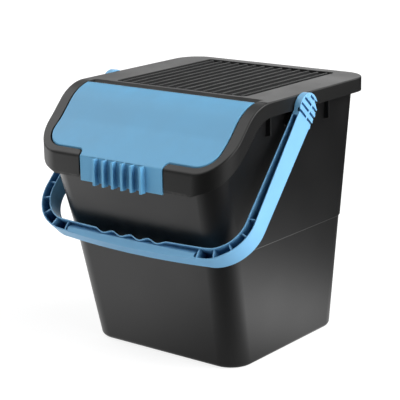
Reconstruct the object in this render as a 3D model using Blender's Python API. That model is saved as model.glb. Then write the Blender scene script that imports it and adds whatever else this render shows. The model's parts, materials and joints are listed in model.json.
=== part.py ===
"""Stackable waste bin: tapered bucket, clip-on lid, lift-up flap and carrying handle.

Metres, +Z up. The front faces -Y and X = 0 is the plane of symmetry. The bucket stands on
Z = 0, and Y = 0 is halfway between the grip's front and the lid's back.
"""
from math import acos, asin, atan2, cos, degrees, hypot, pi, radians, sin, tan

import bmesh
import bpy
from mathutils import Matrix, Vector

OBJECT_NAME = "waste_bin"

# Shared clearances and overruns
SEAT_GAP = 0.0003
OVERRUN = 0.020
WELD = 0.00001

# Lid outline in plan
LID_HALF_WIDTH = 0.1595
LID_DEPTH = 0.352
LID_FRONT_RADIUS = 0.044
LID_BACK_RADIUS = 0.038
LID_WALL = 0.0025
GRIP_FIN_REACH = 0.008

# Lid side view: a flat top, a round shoulder, a shallow waist and a brow above the skirt
LID_TOP = 0.360
SHOULDER_BACK = 0.0816
SHOULDER_RADIUS = 0.093
WAIST_BACK = 0.0435
WAIST_DROP = 0.0409
WAIST_RADIUS = 0.060
BROW_DROP = 0.0765
BROW_RADIUS = 0.004
INNER_BROW_RADIUS = 0.0008

# Lower edge of the skirt
SKIRT_DEPTH = 0.0196
HEM_SHOULDER_BACK = 0.092
HEM_SHOULDER_RADIUS = 0.052
HEM_WAIST_BACK = 0.0572
HEM_WAIST_DROP = 0.0556
HEM_WAIST_RADIUS = 0.060
HEM_BROW_DROP = 0.1033
HEM_BROW_RADIUS = 0.015
HEM_DROP = 0.1103

# Stacking recess with its ribs, and the ridge between it and the flap
RECESS_SIDE_MARGIN = 0.0497
RECESS_BACK_MARGIN = 0.0174
RECESS_DEPTH = 0.004
RECESS_RADIUS = 0.006
RIB_COUNT = 14
RIB_SIDE_MARGIN = 0.0097
RIB_WIDTH = 0.0026
RIB_HEIGHT = 0.0026
RIB_END_MARGIN = 0.0045
RIDGE_LENGTH = 0.0147
RIDGE_WIDTH = 0.0022
RIDGE_DROP = 0.0062
RIDGE_BAR_DEPTH = 0.0112

# Flap opening in the lid
OPENING_SIDE_STRIP = 0.0170
OPENING_REAR_BACK = 0.1071
OPENING_FRONT_BACK = 0.0074
OPENING_CORNER_WIDTH = 0.030
OPENING_CORNER_LENGTH = 0.023
NOTCH_SIDE_MARGIN = 0.0711
NOTCH_RADIUS = 0.005
FLAP_WALL = 0.0024
SEAT_WALL = 0.0022
SEAT_WIDTH = 0.0080
SEAT_RISER = 0.0025

# Flap and its hinge
FLAP_GAP = 0.0015
CURL_RADIUS = 0.0066
CURL_WALL = 0.0022
CURL_END_ANGLE = radians(-65)
CURL_CLEARANCE = 0.0010
HINGE_BACK = 0.0974
HINGE_PIN_RADIUS = 0.0026
HINGE_PIN_LENGTH = 0.0040
HINGE_DISC = 0.0025
EAR_WIDTH = 0.0022
EAR_LENGTH = 0.0130
EAR_DROP = 0.0045
FIN_COUNT = 6
FIN_PITCH = 0.0158
FIN_WIDTH = 0.0036
FIN_DROP = 0.0020
FIN_TOP_DROP = 0.0770
FIN_NOSE = 0.0020

# Bucket: how far the lid stands out over it, and how its walls lean
SIDE_OVERHANG = 0.01067
BACK_OVERHANG = 0.00957
FRONT_OVERHANG = 0.01582
SIDE_LEAN = 0.0587
BACK_LEAN = 0.0587
FRONT_LEAN = 0.2152
UPPER_FRONT_LEAN = 0.270
CORNER_RADIUS = 0.033
BASE_ROUND = 0.006
BUCKET_WALL = 0.0024
LEDGE_HEIGHT = 0.1632
LEDGE_STEP = 0.0011
LEDGE_SLOPE = 0.0010
FOOT_WIDTH = 0.016
FOOT_DEPTH = 0.0015

# Bucket rim under the lid
RIM_WALL = 0.0022
RIM_SIDE_GAP = 0.0005
RIM_LIP_SHORTER = 0.006
BEAD_INSET = 0.0080
BEAD_WIDTH = 0.0020
GUSSET_THICKNESS = 0.0026
GUSSET_FRONT_BACK = 0.1172
GUSSET_REAR_MARGIN = 0.0998
GUSSET_FOOT_DROP = 0.0478
GUSSET_FOOT_RISE = 0.0030

# Handle pivot
PIVOT_DEPTH_SHARE = 0.4679
PIVOT_DROP = 0.0324
STUD_RADIUS = 0.0060
STUD_CLEARANCE = 0.0003
STUD_HEAD_RADIUS = 0.0074
STUD_HEAD_LENGTH = 0.0028
BOSS_RADIUS = 0.0096
BOSS_INSIDE = 0.0012
BOSS_SETBACK = 0.0040

# Handle: a channel that is open towards the front, drawn in its own plane
REST_GAP = 0.00045
SWING_CLEARANCE = 0.0138
ARM_LID_GAP = 0.0007
ARM_TOP_WIDTH = 0.0098
ARM_FLARE = 0.0085
BEND_OUTER_RADIUS = 0.058
CHANNEL_WIDTH = 0.0146
BAR_OUTER_BOW = 0.0045
BAR_INNER_BOW = 0.0028
CHANNEL_FRONT = 0.0133
CHANNEL_BACK = 0.0132
ARM_BACK_TOP = 0.0200
CHANNEL_WALL = 0.0025
CHANNEL_TOP_RISE = 0.0010
CROSS_RIB = 0.0020
CROSS_RIB_RECESS = 0.0060
CROSS_RIB_ANGLES = (radians(18), radians(45), radians(72))
CROSS_RIB_SETBACK = 0.0079
FINGER_COUNT = 4
FINGER_PITCH = 0.0308
FINGER_DEPTH = 0.0043

# Handle heads: round paddles with a stepped grip on the outside and the back
HEAD_RADIUS = 0.0205
HEAD_CENTRE_RISE = 0.0203
HEAD_CENTRE_BACK = 0.0020
HEAD_INNER_STEP = 0.0004
HEAD_OUTER_STEP = 0.0002
HEAD_FRONT_RISE = 0.0060
HEAD_OVERLAP = 0.0030
TOOTH_COUNT = 5
TOOTH_PITCH = 0.0091
TOOTH_LAST_RISE = 0.0012
TOOTH_UNDERCUT = 0.0010
TOOTH_DEPTH = 0.0026
GROOVE_WIDTH = 0.0016
GROOVE_DEPTH = 0.0016
GROOVE_SPLIT_START = 0.0040
GROOVE_SPLIT_END = 0.0075
GROOVE_EDGE_MARGIN = 0.0022

# Smoothness of the curves
CORNER_STEPS = 7
PROFILE_STEPS = 8
SMALL_STEPS = 4
ROUND_SIDES = 24
FINGER_STEPS = 8
REST_HALVINGS = 40

# Places that follow from the sizes above
OVERALL_DEPTH = LID_DEPTH + GRIP_FIN_REACH
LID_BACK = OVERALL_DEPTH / 2
LID_FRONT = LID_BACK - LID_DEPTH
FLAP_SEAT = FLAP_WALL + SEAT_GAP
LID_SEAT = FLAP_SEAT + SEAT_WALL
RIM_DEPTH = LID_SEAT + SEAT_GAP
HEM_BOTTOM = LID_TOP - HEM_DROP
BELOW = HEM_BOTTOM - OVERRUN
ABOVE = LID_TOP + OVERRUN
OPENING_HALF_WIDTH = LID_HALF_WIDTH - OPENING_SIDE_STRIP
OPENING_REAR = LID_FRONT + OPENING_REAR_BACK
OPENING_FRONT = LID_FRONT + OPENING_FRONT_BACK
NOTCH_HALF_WIDTH = OPENING_HALF_WIDTH - NOTCH_SIDE_MARGIN
RECESS_HALF_WIDTH = LID_HALF_WIDTH - RECESS_SIDE_MARGIN
RECESS_BACK = LID_BACK - RECESS_BACK_MARGIN
RECESS_FRONT = OPENING_REAR + RIDGE_LENGTH
RIB_PITCH = 2 * (RECESS_HALF_WIDTH - RIB_SIDE_MARGIN) / (RIB_COUNT - 1)
BASE_HALF_WIDTH = LID_HALF_WIDTH - SIDE_OVERHANG - LEDGE_STEP - SIDE_LEAN * LID_TOP
BASE_BACK = LID_BACK - BACK_OVERHANG - LEDGE_STEP - BACK_LEAN * LID_TOP
BASE_FRONT = (LID_FRONT + FRONT_OVERHANG + LEDGE_STEP + FRONT_LEAN * LEDGE_HEIGHT
              + UPPER_FRONT_LEAN * (HEM_BOTTOM - LEDGE_HEIGHT))
RIM_INSET = LID_WALL + RIM_SIDE_GAP
RIM_HALF_WIDTH = LID_HALF_WIDTH - RIM_INSET
GUSSET_FOOT_HEIGHT = LID_TOP - GUSSET_FOOT_DROP
PIVOT_Y = LID_FRONT + PIVOT_DEPTH_SHARE * LID_DEPTH
PIVOT_HEIGHT = LID_TOP - PIVOT_DROP
BOSS_HALF_WIDTH = LID_HALF_WIDTH - BOSS_SETBACK
ARM_TOP_INNER = LID_HALF_WIDTH + ARM_LID_GAP
ARM_TOP_OUTER = ARM_TOP_INNER + ARM_TOP_WIDTH
HEAD_INNER = ARM_TOP_INNER + HEAD_INNER_STEP
HEAD_OUTER = ARM_TOP_OUTER + HEAD_OUTER_STEP
BEND_INNER_RADIUS = BEND_OUTER_RADIUS - CHANNEL_WIDTH
BEND_HALF_WIDTH = ARM_TOP_OUTER + ARM_FLARE - BEND_OUTER_RADIUS
BAR_INNER_REACH = hypot(LID_BACK - PIVOT_Y, PIVOT_DROP) + SWING_CLEARANCE
BEND_REACH = BAR_INNER_REACH - BEND_INNER_RADIUS

LID_PROFILE = (
    (LID_BACK + OVERRUN, LID_TOP),
    (LID_FRONT + SHOULDER_BACK, LID_TOP),
    (LID_FRONT + WAIST_BACK, LID_TOP - WAIST_DROP),
    (LID_FRONT, LID_TOP - BROW_DROP),
    (LID_FRONT, BELOW),
)
LID_PROFILE_RADII = (SHOULDER_RADIUS, WAIST_RADIUS, BROW_RADIUS)
HEM_PROFILE = (
    (LID_BACK + OVERRUN, LID_TOP - SKIRT_DEPTH),
    (LID_FRONT + HEM_SHOULDER_BACK, LID_TOP - SKIRT_DEPTH),
    (LID_FRONT + HEM_WAIST_BACK, LID_TOP - HEM_WAIST_DROP),
    (LID_FRONT, LID_TOP - HEM_BROW_DROP),
    (LID_FRONT, HEM_BOTTOM),
)
HEM_PROFILE_RADII = (HEM_SHOULDER_RADIUS, HEM_WAIST_RADIUS, HEM_BROW_RADIUS)

PLANE_XY = Matrix.Identity(4)
PLANE_YZ = Matrix(((0, 0, 1, 0), (1, 0, 0, 0), (0, 1, 0, 0), (0, 0, 0, 1)))
PLANE_XZ = Matrix(((1, 0, 0, 0), (0, 0, -1, 0), (0, 1, 0, 0), (0, 0, 0, 1)))


def clear_scene():
    """Remove what the scene holds, so that every run starts empty."""
    for thing in list(bpy.data.objects):
        bpy.data.objects.remove(thing, do_unlink=True)


def make_material(name, colour, roughness):
    """A plain moulded plastic."""
    material = bpy.data.materials.new(name)
    material.use_nodes = True
    shader = material.node_tree.nodes["Principled BSDF"]
    shader.inputs["Base Color"].default_value = (*colour, 1.0)
    shader.inputs["Roughness"].default_value = roughness
    shader.inputs["Metallic"].default_value = 0.0
    return material


def arc(centre, radius, start, end, steps):
    """Points on an arc in a plane, both ends included; radius is a number or a pair."""
    wide, high = radius if isinstance(radius, tuple) else (radius, radius)
    points = []
    for step in range(steps + 1):
        angle = start + (end - start) * step / steps
        points.append((centre[0] + wide * cos(angle), centre[1] + high * sin(angle)))
    return points


def rounded_rectangle(left, right, front, back, front_radius, back_radius, steps):
    """Corner points of a rounded rectangle, anticlockwise seen from above."""
    points = arc((right - front_radius, front + front_radius), front_radius, -pi / 2, 0, steps)
    points += arc((right - back_radius, back - back_radius), back_radius, 0, pi / 2, steps)
    points += arc((left + back_radius, back - back_radius), back_radius, pi / 2, pi, steps)
    points += arc((left + front_radius, front + front_radius), front_radius, pi, 3 * pi / 2, steps)
    return points


def offset_corners(corners, depth):
    """Move every side of an open polyline to its left by depth and join the sides again."""
    sides = []
    for (ax, ay), (bx, by) in zip(corners, corners[1:]):
        length = hypot(bx - ax, by - ay)
        across = ((ay - by) / length * depth, (bx - ax) / length * depth)
        sides.append(((ax + across[0], ay + across[1]), (bx + across[0], by + across[1])))
    moved = [sides[0][0]]
    for (a, b), (c, d) in zip(sides, sides[1:]):
        cross = (b[0] - a[0]) * (d[1] - c[1]) - (b[1] - a[1]) * (d[0] - c[0])
        along = ((c[0] - a[0]) * (d[1] - c[1]) - (c[1] - a[1]) * (d[0] - c[0])) / cross
        moved.append((a[0] + along * (b[0] - a[0]), a[1] + along * (b[1] - a[1])))
    moved.append(sides[-1][1])
    return moved


def filleted(corners, radii, steps):
    """Round the inner corners of an open polyline; a fillet is limited by its sides."""
    points = [corners[0]]
    for before, corner, after, radius in zip(corners, corners[1:], corners[2:], radii):
        back = (Vector(before) - Vector(corner))
        ahead = (Vector(after) - Vector(corner))
        half_turn = back.angle(ahead) / 2
        reach = min(radius / tan(half_turn), back.length / 2, ahead.length / 2)
        start = Vector(corner) + back.normalized() * reach
        end = Vector(corner) + ahead.normalized() * reach
        middle = (back.normalized() + ahead.normalized()).normalized()
        centre = Vector(corner) + middle * (reach / cos(half_turn))
        first = atan2(start.y - centre.y, start.x - centre.x)
        last = atan2(end.y - centre.y, end.x - centre.x)
        if last - first > pi:
            last -= 2 * pi
        if first - last > pi:
            last += 2 * pi
        points += arc(tuple(centre), (start - centre).length, first, last, steps)
    points.append(corners[-1])
    return points


def lid_profile(depth):
    """The lid's side view, depth under its outer surface, from the back to the front."""
    corners = offset_corners(LID_PROFILE, depth)
    shoulder, waist, brow = LID_PROFILE_RADII
    inner_brow = max(brow - depth, INNER_BROW_RADIUS)
    return filleted(corners, (shoulder - depth, waist + depth, inner_brow), PROFILE_STEPS)


def hem_profile(raise_by):
    """The skirt's lower edge in side view, raised by a height."""
    corners = [(y, z + raise_by) for y, z in HEM_PROFILE]
    return filleted(corners, HEM_PROFILE_RADII, PROFILE_STEPS)


def new_object(name, mesh, collection):
    """Put a mesh in a collection as an object."""
    thing = bpy.data.objects.new(name, mesh)
    collection.objects.link(thing)
    return thing


def extruded(name, outlines, low, high, frame=PLANE_XY):
    """A solid pushed from low to high along the normal of a frame, from closed flat outlines."""
    curve = bpy.data.curves.new(name, "CURVE")
    curve.dimensions = "2D"
    curve.fill_mode = "BOTH"
    curve.extrude = (high - low) / 2
    for outline in outlines:
        spline = curve.splines.new("POLY")
        spline.points.add(len(outline) - 1)
        for point, place in zip(spline.points, outline):
            point.co.xy = place
        spline.use_cyclic_u = True
    drawing = new_object(name + "_outline", curve, tools)
    bpy.context.view_layer.update()
    evaluated = drawing.evaluated_get(bpy.context.evaluated_depsgraph_get())
    mesh = bpy.data.meshes.new_from_object(evaluated)
    place = frame @ Matrix.Translation((0, 0, (low + high) / 2))
    bpy.data.objects.remove(drawing, do_unlink=True)
    shape = bmesh.new()
    shape.from_mesh(mesh)
    bmesh.ops.remove_doubles(shape, verts=shape.verts, dist=WELD)
    for height in (-(high - low) / 2, (high - low) / 2):
        cap = [face for face in shape.faces
               if all(abs(corner.co.z - height) < WELD for corner in face.verts)]
        bmesh.ops.dissolve_faces(shape, faces=cap)
    bmesh.ops.recalc_face_normals(shape, faces=shape.faces)
    bmesh.ops.transform(shape, matrix=place, verts=shape.verts)
    shape.to_mesh(mesh)
    shape.free()
    return new_object(name, mesh, tools)


def cylinder(name, radius, low, high, centre_y, centre_z, sides=ROUND_SIDES):
    """A cylinder along X from low to high."""
    shape = bmesh.new()
    turn = Matrix.Rotation(pi / 2, 4, "Y")
    place = Matrix.Translation(((low + high) / 2, centre_y, centre_z)) @ turn
    bmesh.ops.create_cone(shape, cap_ends=True, segments=sides, radius1=radius, radius2=radius,
                          depth=high - low, matrix=place)
    mesh = bpy.data.meshes.new(name)
    shape.to_mesh(mesh)
    shape.free()
    return new_object(name, mesh, tools)


def loft(name, rings):
    """A closed solid through level rings of equal point counts, from the bottom up."""
    shape = bmesh.new()
    levels = [[shape.verts.new(point) for point in ring] for ring in rings]
    for lower, upper in zip(levels, levels[1:]):
        for index in range(len(lower)):
            after = (index + 1) % len(lower)
            shape.faces.new((lower[index], lower[after], upper[after], upper[index]))
    shape.faces.new(tuple(reversed(levels[0])))
    shape.faces.new(tuple(levels[-1]))
    mesh = bpy.data.meshes.new(name)
    shape.to_mesh(mesh)
    shape.free()
    return new_object(name, mesh, tools)


def combine(piece, operation, *others):
    """Join, cut or intersect a piece with other solids, which are used up."""
    for other in others:
        step = piece.modifiers.new(operation.lower(), "BOOLEAN")
        step.operation = operation
        step.solver = "EXACT"
        step.object = other
        bpy.context.view_layer.update()
        evaluated = piece.evaluated_get(bpy.context.evaluated_depsgraph_get())
        mesh = bpy.data.meshes.new_from_object(evaluated)
        piece.modifiers.clear()
        piece.data = mesh
        bpy.data.objects.remove(other, do_unlink=True)
    return piece


def join(piece, *others):
    return combine(piece, "UNION", *others)


def cut(piece, *others):
    return combine(piece, "DIFFERENCE", *others)


def keep_inside(piece, *others):
    return combine(piece, "INTERSECT", *others)


def mirrored(make, name):
    """Two copies of a solid made on the +X side, one of them mirrored to the -X side."""
    right = make(name + "_right")
    left = make(name + "_left")
    left.data.transform(Matrix.Scale(-1, 4, (1, 0, 0)))
    left.data.flip_normals()
    return right, left


def plan_solid(name, inset):
    """The lid's outline in plan, inset by a distance, as an upright block."""
    outline = rounded_rectangle(
        -LID_HALF_WIDTH + inset, LID_HALF_WIDTH - inset, LID_FRONT + inset, LID_BACK - inset,
        LID_FRONT_RADIUS - inset, LID_BACK_RADIUS - inset, CORNER_STEPS)
    return extruded(name, [outline], BELOW, ABOVE)


def under_lid(name, depth):
    """All space under the lid's surface, starting depth below it."""
    profile = lid_profile(depth)
    reach = LID_HALF_WIDTH + OVERRUN
    back, front = profile[0][0], profile[-1][0]
    outline = profile + [(front, -OVERRUN), (back, -OVERRUN)]
    return extruded(name, [outline], -reach, reach, PLANE_YZ)


def over_lid(name, depth):
    """All space outside the surface that lies depth under the lid's surface."""
    profile = lid_profile(depth)
    reach = LID_HALF_WIDTH + OVERRUN
    back, bottom = profile[0][0], profile[-1][1]
    front = LID_FRONT - OVERRUN
    outline = profile + [(front, bottom), (front, ABOVE), (back, ABOVE)]
    return extruded(name, [outline], -reach, reach, PLANE_YZ)


def over_hem(name, raise_by):
    """All space above the skirt's lower edge, raised by a height."""
    profile = hem_profile(raise_by)
    reach = LID_HALF_WIDTH + OVERRUN
    back, bottom = profile[0][0], profile[-1][1]
    front = LID_FRONT - OVERRUN
    outline = profile + [(front, bottom), (front, ABOVE), (back, ABOVE)]
    return extruded(name, [outline], -reach, reach, PLANE_YZ)


def opening_outline(grow, rear, front_end):
    """The flap opening in plan with the notch for the grip, grown by a distance."""
    half = OPENING_HALF_WIDTH + grow
    notch = NOTCH_HALF_WIDTH + grow
    front = OPENING_FRONT - grow
    corner = (OPENING_CORNER_WIDTH + grow, OPENING_CORNER_LENGTH + grow)
    small = NOTCH_RADIUS - grow
    right = [(notch, front_end)]
    right += arc((notch + small, front - small), small, pi, pi / 2, SMALL_STEPS)
    right += arc((half - corner[0], front + corner[1]), corner, -pi / 2, 0, CORNER_STEPS)
    right.append((half, rear))
    left = [(-across, along) for across, along in reversed(right)]
    return right + left


def hinge_axis():
    """Where the flap's pins lie: under the lid's round shoulder, on its normal."""
    start = lid_profile(0)[1][0]
    radius = SHOULDER_RADIUS
    tilt = asin((start - LID_FRONT - HINGE_BACK) / radius)
    on_top_y = start - radius * sin(tilt)
    on_top_z = LID_TOP - radius * (1 - cos(tilt))
    return on_top_y + CURL_RADIUS * sin(tilt), on_top_z - CURL_RADIUS * cos(tilt), tilt


def front_wall(height):
    """Where the bucket's front wall lies at a height, without the ledge's step."""
    upper = max(height - LEDGE_HEIGHT, 0)
    lower = min(height, LEDGE_HEIGHT)
    return BASE_FRONT - FRONT_LEAN * lower - UPPER_FRONT_LEAN * upper


def body_ring(height, inset, stepped):
    """One level section of the bucket's outer skin, inset by a distance."""
    step = LEDGE_STEP if stepped else 0
    half = BASE_HALF_WIDTH + SIDE_LEAN * height + step - inset
    back = BASE_BACK + BACK_LEAN * height + step - inset
    front = front_wall(height) - step + inset
    radius = CORNER_RADIUS - inset
    outline = rounded_rectangle(-half, half, front, back, radius, radius, CORNER_STEPS)
    return [(x, y, height) for x, y in outline]


def body_solid(name, inset, floor):
    """The bucket's tapered body as a closed solid, round along its bottom edge."""
    edge = BASE_ROUND - inset
    rings = []
    for step in range(SMALL_STEPS + 1):
        angle = pi / 2 * step / SMALL_STEPS
        rings.append(body_ring(floor + edge * (1 - cos(angle)), inset + edge * (1 - sin(angle)), False))
    rings.append(body_ring(LEDGE_HEIGHT, inset, False))
    rings.append(body_ring(LEDGE_HEIGHT + LEDGE_SLOPE, inset, True))
    rings.append(body_ring(ABOVE, inset, True))
    return loft(name, rings)


def wall_half_width(height):
    """Half the bucket's outer width at a height above its ledge."""
    return BASE_HALF_WIDTH + SIDE_LEAN * height + LEDGE_STEP


def gusset(name, centre_y):
    """A fin between the bucket's wall and its rim, on the +X side."""
    top = LID_TOP - RIM_DEPTH - RIM_WALL / 2
    inner = wall_half_width(GUSSET_FOOT_HEIGHT) - BUCKET_WALL / 2
    inner_top = wall_half_width(top) - BUCKET_WALL / 2
    outline = [(inner, GUSSET_FOOT_HEIGHT), (RIM_HALF_WIDTH, GUSSET_FOOT_HEIGHT + GUSSET_FOOT_RISE),
               (RIM_HALF_WIDTH, top), (inner_top, top)]
    low = -centre_y - GUSSET_THICKNESS / 2
    return extruded(name, [outline], low, low + GUSSET_THICKNESS, PLANE_XZ)


def build_bucket():
    body = keep_inside(body_solid("bucket", 0, 0), under_lid("body_top", RIM_DEPTH))
    rim = plan_solid("rim", RIM_INSET)
    keep_inside(rim, under_lid("rim_top", RIM_DEPTH))
    inside = plan_solid("rim_inside", RIM_INSET + RIM_WALL)
    keep_inside(inside, under_lid("rim_inside_top", RIM_DEPTH + RIM_WALL))
    cut(rim, inside)
    keep_inside(rim, over_hem("rim_hem", RIM_LIP_SHORTER))
    join(body, rim)
    for place in (LID_FRONT + GUSSET_FRONT_BACK, LID_BACK - GUSSET_REAR_MARGIN):
        join(body, *mirrored(lambda name, y=place: gusset(name, y), "gusset"))
    cut(body, body_solid("cavity", BUCKET_WALL, FOOT_DEPTH + BUCKET_WALL))
    foot = body_ring(0, FOOT_WIDTH, False)
    cut(body, extruded("foot_recess", [[(x, y) for x, y, z in foot]], -OVERRUN, FOOT_DEPTH))
    inner = wall_half_width(PIVOT_HEIGHT) - BUCKET_WALL - BOSS_INSIDE
    join(body, *mirrored(lambda name: cylinder(name, BOSS_RADIUS, inner, BOSS_HALF_WIDTH,
                                               PIVOT_Y, PIVOT_HEIGHT), "pivot_boss"))
    hole = STUD_RADIUS + STUD_CLEARANCE
    cut(body, *mirrored(lambda name: cylinder(name, hole, inner - OVERRUN / 2, BOSS_HALF_WIDTH + OVERRUN / 4,
                                              PIVOT_Y, PIVOT_HEIGHT), "pivot_hole"))
    return body


def rib_comb(name):
    """The stacking ribs as one toothed section, rooted in the recess floor."""
    floor = LID_TOP - RECESS_DEPTH
    root = floor - LID_WALL / 2
    half = RIB_PITCH * (RIB_COUNT - 1) / 2
    outline = [(-half - RIB_WIDTH / 2, root)]
    for index in range(RIB_COUNT):
        middle = -half + RIB_PITCH * index
        low, high = middle - RIB_WIDTH / 2, middle + RIB_WIDTH / 2
        shoulder = RIB_WIDTH / 4
        outline += [(low, floor - LID_WALL / 4), (low, floor + RIB_HEIGHT - shoulder),
                    (low + shoulder, floor + RIB_HEIGHT), (high - shoulder, floor + RIB_HEIGHT),
                    (high, floor + RIB_HEIGHT - shoulder), (high, floor - LID_WALL / 4)]
    outline.append((half + RIB_WIDTH / 2, root))
    low = -(RECESS_BACK - RIB_END_MARGIN)
    high = -(RECESS_FRONT + RIB_END_MARGIN)
    return extruded(name, [outline], low, high, PLANE_XZ)


def recess_outline(grow):
    return rounded_rectangle(-RECESS_HALF_WIDTH - grow, RECESS_HALF_WIDTH + grow, RECESS_FRONT - grow,
                             RECESS_BACK + grow, RECESS_RADIUS + grow, RECESS_RADIUS + grow, SMALL_STEPS)


def build_lid():
    lid = plan_solid("lid_frame", 0)
    keep_inside(lid, under_lid("lid_surface", 0))
    inside = plan_solid("lid_inside", LID_WALL)
    keep_inside(inside, under_lid("lid_inside_top", LID_WALL))
    cut(lid, inside)

    bead = plan_solid("bead", BEAD_INSET)
    cut(bead, plan_solid("bead_inside", BEAD_INSET + BEAD_WIDTH))
    keep_inside(bead, under_lid("bead_top", LID_WALL / 2), over_lid("bead_foot", LID_SEAT))
    join(lid, bead)

    seat = extruded("seat", [opening_outline(SEAT_RISER, OPENING_REAR, LID_FRONT - OVERRUN / 2)], BELOW, ABOVE)
    keep_inside(seat, under_lid("seat_top", LID_WALL / 2), over_lid("seat_foot", LID_SEAT))
    keep_inside(seat, plan_solid("seat_plan", LID_WALL / 2))
    join(lid, seat)

    tray_low = LID_TOP - RECESS_DEPTH - LID_WALL
    join(lid, extruded("tray", [recess_outline(LID_WALL)], tray_low, LID_TOP - LID_WALL / 2))
    half = OPENING_HALF_WIDTH + SEAT_RISER
    ridge_top = RECESS_FRONT - RIDGE_WIDTH
    beam = [(ridge_top, LID_TOP - LID_WALL / 2), (OPENING_REAR, LID_TOP - LID_WALL / 2),
            (OPENING_REAR, LID_TOP - RIDGE_BAR_DEPTH), (OPENING_REAR + LID_WALL, LID_TOP - RIDGE_BAR_DEPTH),
            (OPENING_REAR + LID_WALL, LID_TOP - RIDGE_DROP - LID_WALL), (ridge_top, tray_low)]
    join(lid, extruded("ridge_beam", [beam], -half, half, PLANE_YZ))

    axis_y, axis_z, tilt = hinge_axis()
    ear_low = axis_z - HINGE_PIN_RADIUS - EAR_DROP
    start = OPENING_HALF_WIDTH + FLAP_GAP / 4
    ear = [(axis_y - EAR_LENGTH / 2, ear_low), (axis_y + EAR_LENGTH / 2, ear_low),
           (axis_y + EAR_LENGTH / 2, LID_TOP - LID_WALL / 2), (axis_y - EAR_LENGTH / 2, LID_TOP - LID_WALL / 2)]
    ears = mirrored(lambda name: extruded(name, [ear], start, start + EAR_WIDTH, PLANE_YZ), "ear")
    for one in ears:
        keep_inside(one, under_lid("ear_top", LID_WALL / 2))
    join(lid, *ears)
    keep_inside(lid, over_hem("lid_hem", 0))

    pocket = extruded("pocket", [opening_outline(0, OPENING_REAR, LID_FRONT - OVERRUN / 2)], BELOW, ABOVE)
    cut(lid, keep_inside(pocket, over_lid("pocket_floor", FLAP_SEAT)))
    well_front = OPENING_FRONT + SEAT_WIDTH
    well_half = OPENING_HALF_WIDTH - SEAT_WIDTH
    corner = (OPENING_CORNER_WIDTH - SEAT_WIDTH, OPENING_CORNER_LENGTH - SEAT_WIDTH)
    right = arc((well_half - corner[0], well_front + corner[1]), corner, -pi / 2, 0, CORNER_STEPS)
    right.append((well_half, OPENING_REAR))
    well = right + [(-across, along) for across, along in reversed(right)]
    cut(lid, extruded("well", [well], BELOW, ABOVE))
    cut(lid, cylinder("curl_room", CURL_RADIUS + CURL_CLEARANCE, -OPENING_HALF_WIDTH, OPENING_HALF_WIDTH,
                      axis_y, axis_z))
    bore = HINGE_PIN_RADIUS + SEAT_GAP
    pin_end = OPENING_HALF_WIDTH - FLAP_GAP + HINGE_PIN_LENGTH + FLAP_GAP / 4
    cut(lid, *mirrored(lambda name: cylinder(name, bore, OPENING_HALF_WIDTH - OVERRUN / 4, pin_end,
                                             axis_y, axis_z, ROUND_SIDES // 2), "pin_hole"))

    wedge = [(ridge_top, LID_TOP), (ridge_top, ABOVE), (OPENING_REAR - OVERRUN / 4, ABOVE),
             (OPENING_REAR - OVERRUN / 4, LID_TOP - RIDGE_DROP), (OPENING_REAR, LID_TOP - RIDGE_DROP)]
    cut(lid, extruded("ridge_slope", [wedge], -OPENING_HALF_WIDTH, OPENING_HALF_WIDTH, PLANE_YZ))
    cut(lid, extruded("recess", [recess_outline(0)], LID_TOP - RECESS_DEPTH, ABOVE))
    join(lid, rib_comb("ribs"))
    return lid


def grip_fin(name, middle):
    """One fin of the flap's grip."""
    bottom = HEM_BOTTOM - FIN_DROP
    root = LID_FRONT + FLAP_WALL / 2
    nose = LID_FRONT - GRIP_FIN_REACH
    top = LID_TOP - FIN_TOP_DROP
    outline = [(root, bottom), (root, top), (nose + FIN_NOSE, top), (nose, top - FIN_NOSE), (nose, bottom)]
    return extruded(name, [outline], middle - FIN_WIDTH / 2, middle + FIN_WIDTH / 2, PLANE_YZ)


def build_flap():
    axis_y, axis_z, tilt = hinge_axis()
    rear = axis_y - CURL_RADIUS * sin(tilt)
    outline = opening_outline(-FLAP_GAP, rear, LID_FRONT - OVERRUN / 2)
    flap = extruded("flap", [outline], BELOW, ABOVE)
    keep_inside(flap, under_lid("flap_surface", 0), over_lid("flap_inside", FLAP_WALL))
    bottom = extruded("flap_bottom", [[(LID_FRONT - OVERRUN, HEM_BOTTOM), (LID_BACK, HEM_BOTTOM),
                                       (LID_BACK, ABOVE), (LID_FRONT - OVERRUN, ABOVE)]],
                      -LID_HALF_WIDTH, LID_HALF_WIDTH, PLANE_YZ)
    keep_inside(flap, bottom)

    half = OPENING_HALF_WIDTH - FLAP_GAP
    crest = pi / 2 + tilt + radians(4)
    curl = arc((axis_y, axis_z), CURL_RADIUS, crest, CURL_END_ANGLE, 2 * SMALL_STEPS)
    curl += arc((axis_y, axis_z), CURL_RADIUS - CURL_WALL, CURL_END_ANGLE, crest, 2 * SMALL_STEPS)
    join(flap, extruded("curl", [curl], -half, half, PLANE_YZ))
    join(flap, *mirrored(lambda name: cylinder(name, CURL_RADIUS - CURL_WALL / 2, half - HINGE_DISC, half,
                                               axis_y, axis_z), "hinge_disc"))
    join(flap, *mirrored(lambda name: cylinder(name, HINGE_PIN_RADIUS, half - HINGE_DISC / 2,
                                               half + HINGE_PIN_LENGTH, axis_y, axis_z,
                                               ROUND_SIDES // 2), "hinge_pin"))
    for index in range(FIN_COUNT):
        middle = FIN_PITCH * (index - (FIN_COUNT - 1) / 2)
        join(flap, grip_fin("fin", middle))
    return flap, Vector((0, axis_y, axis_z))


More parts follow.
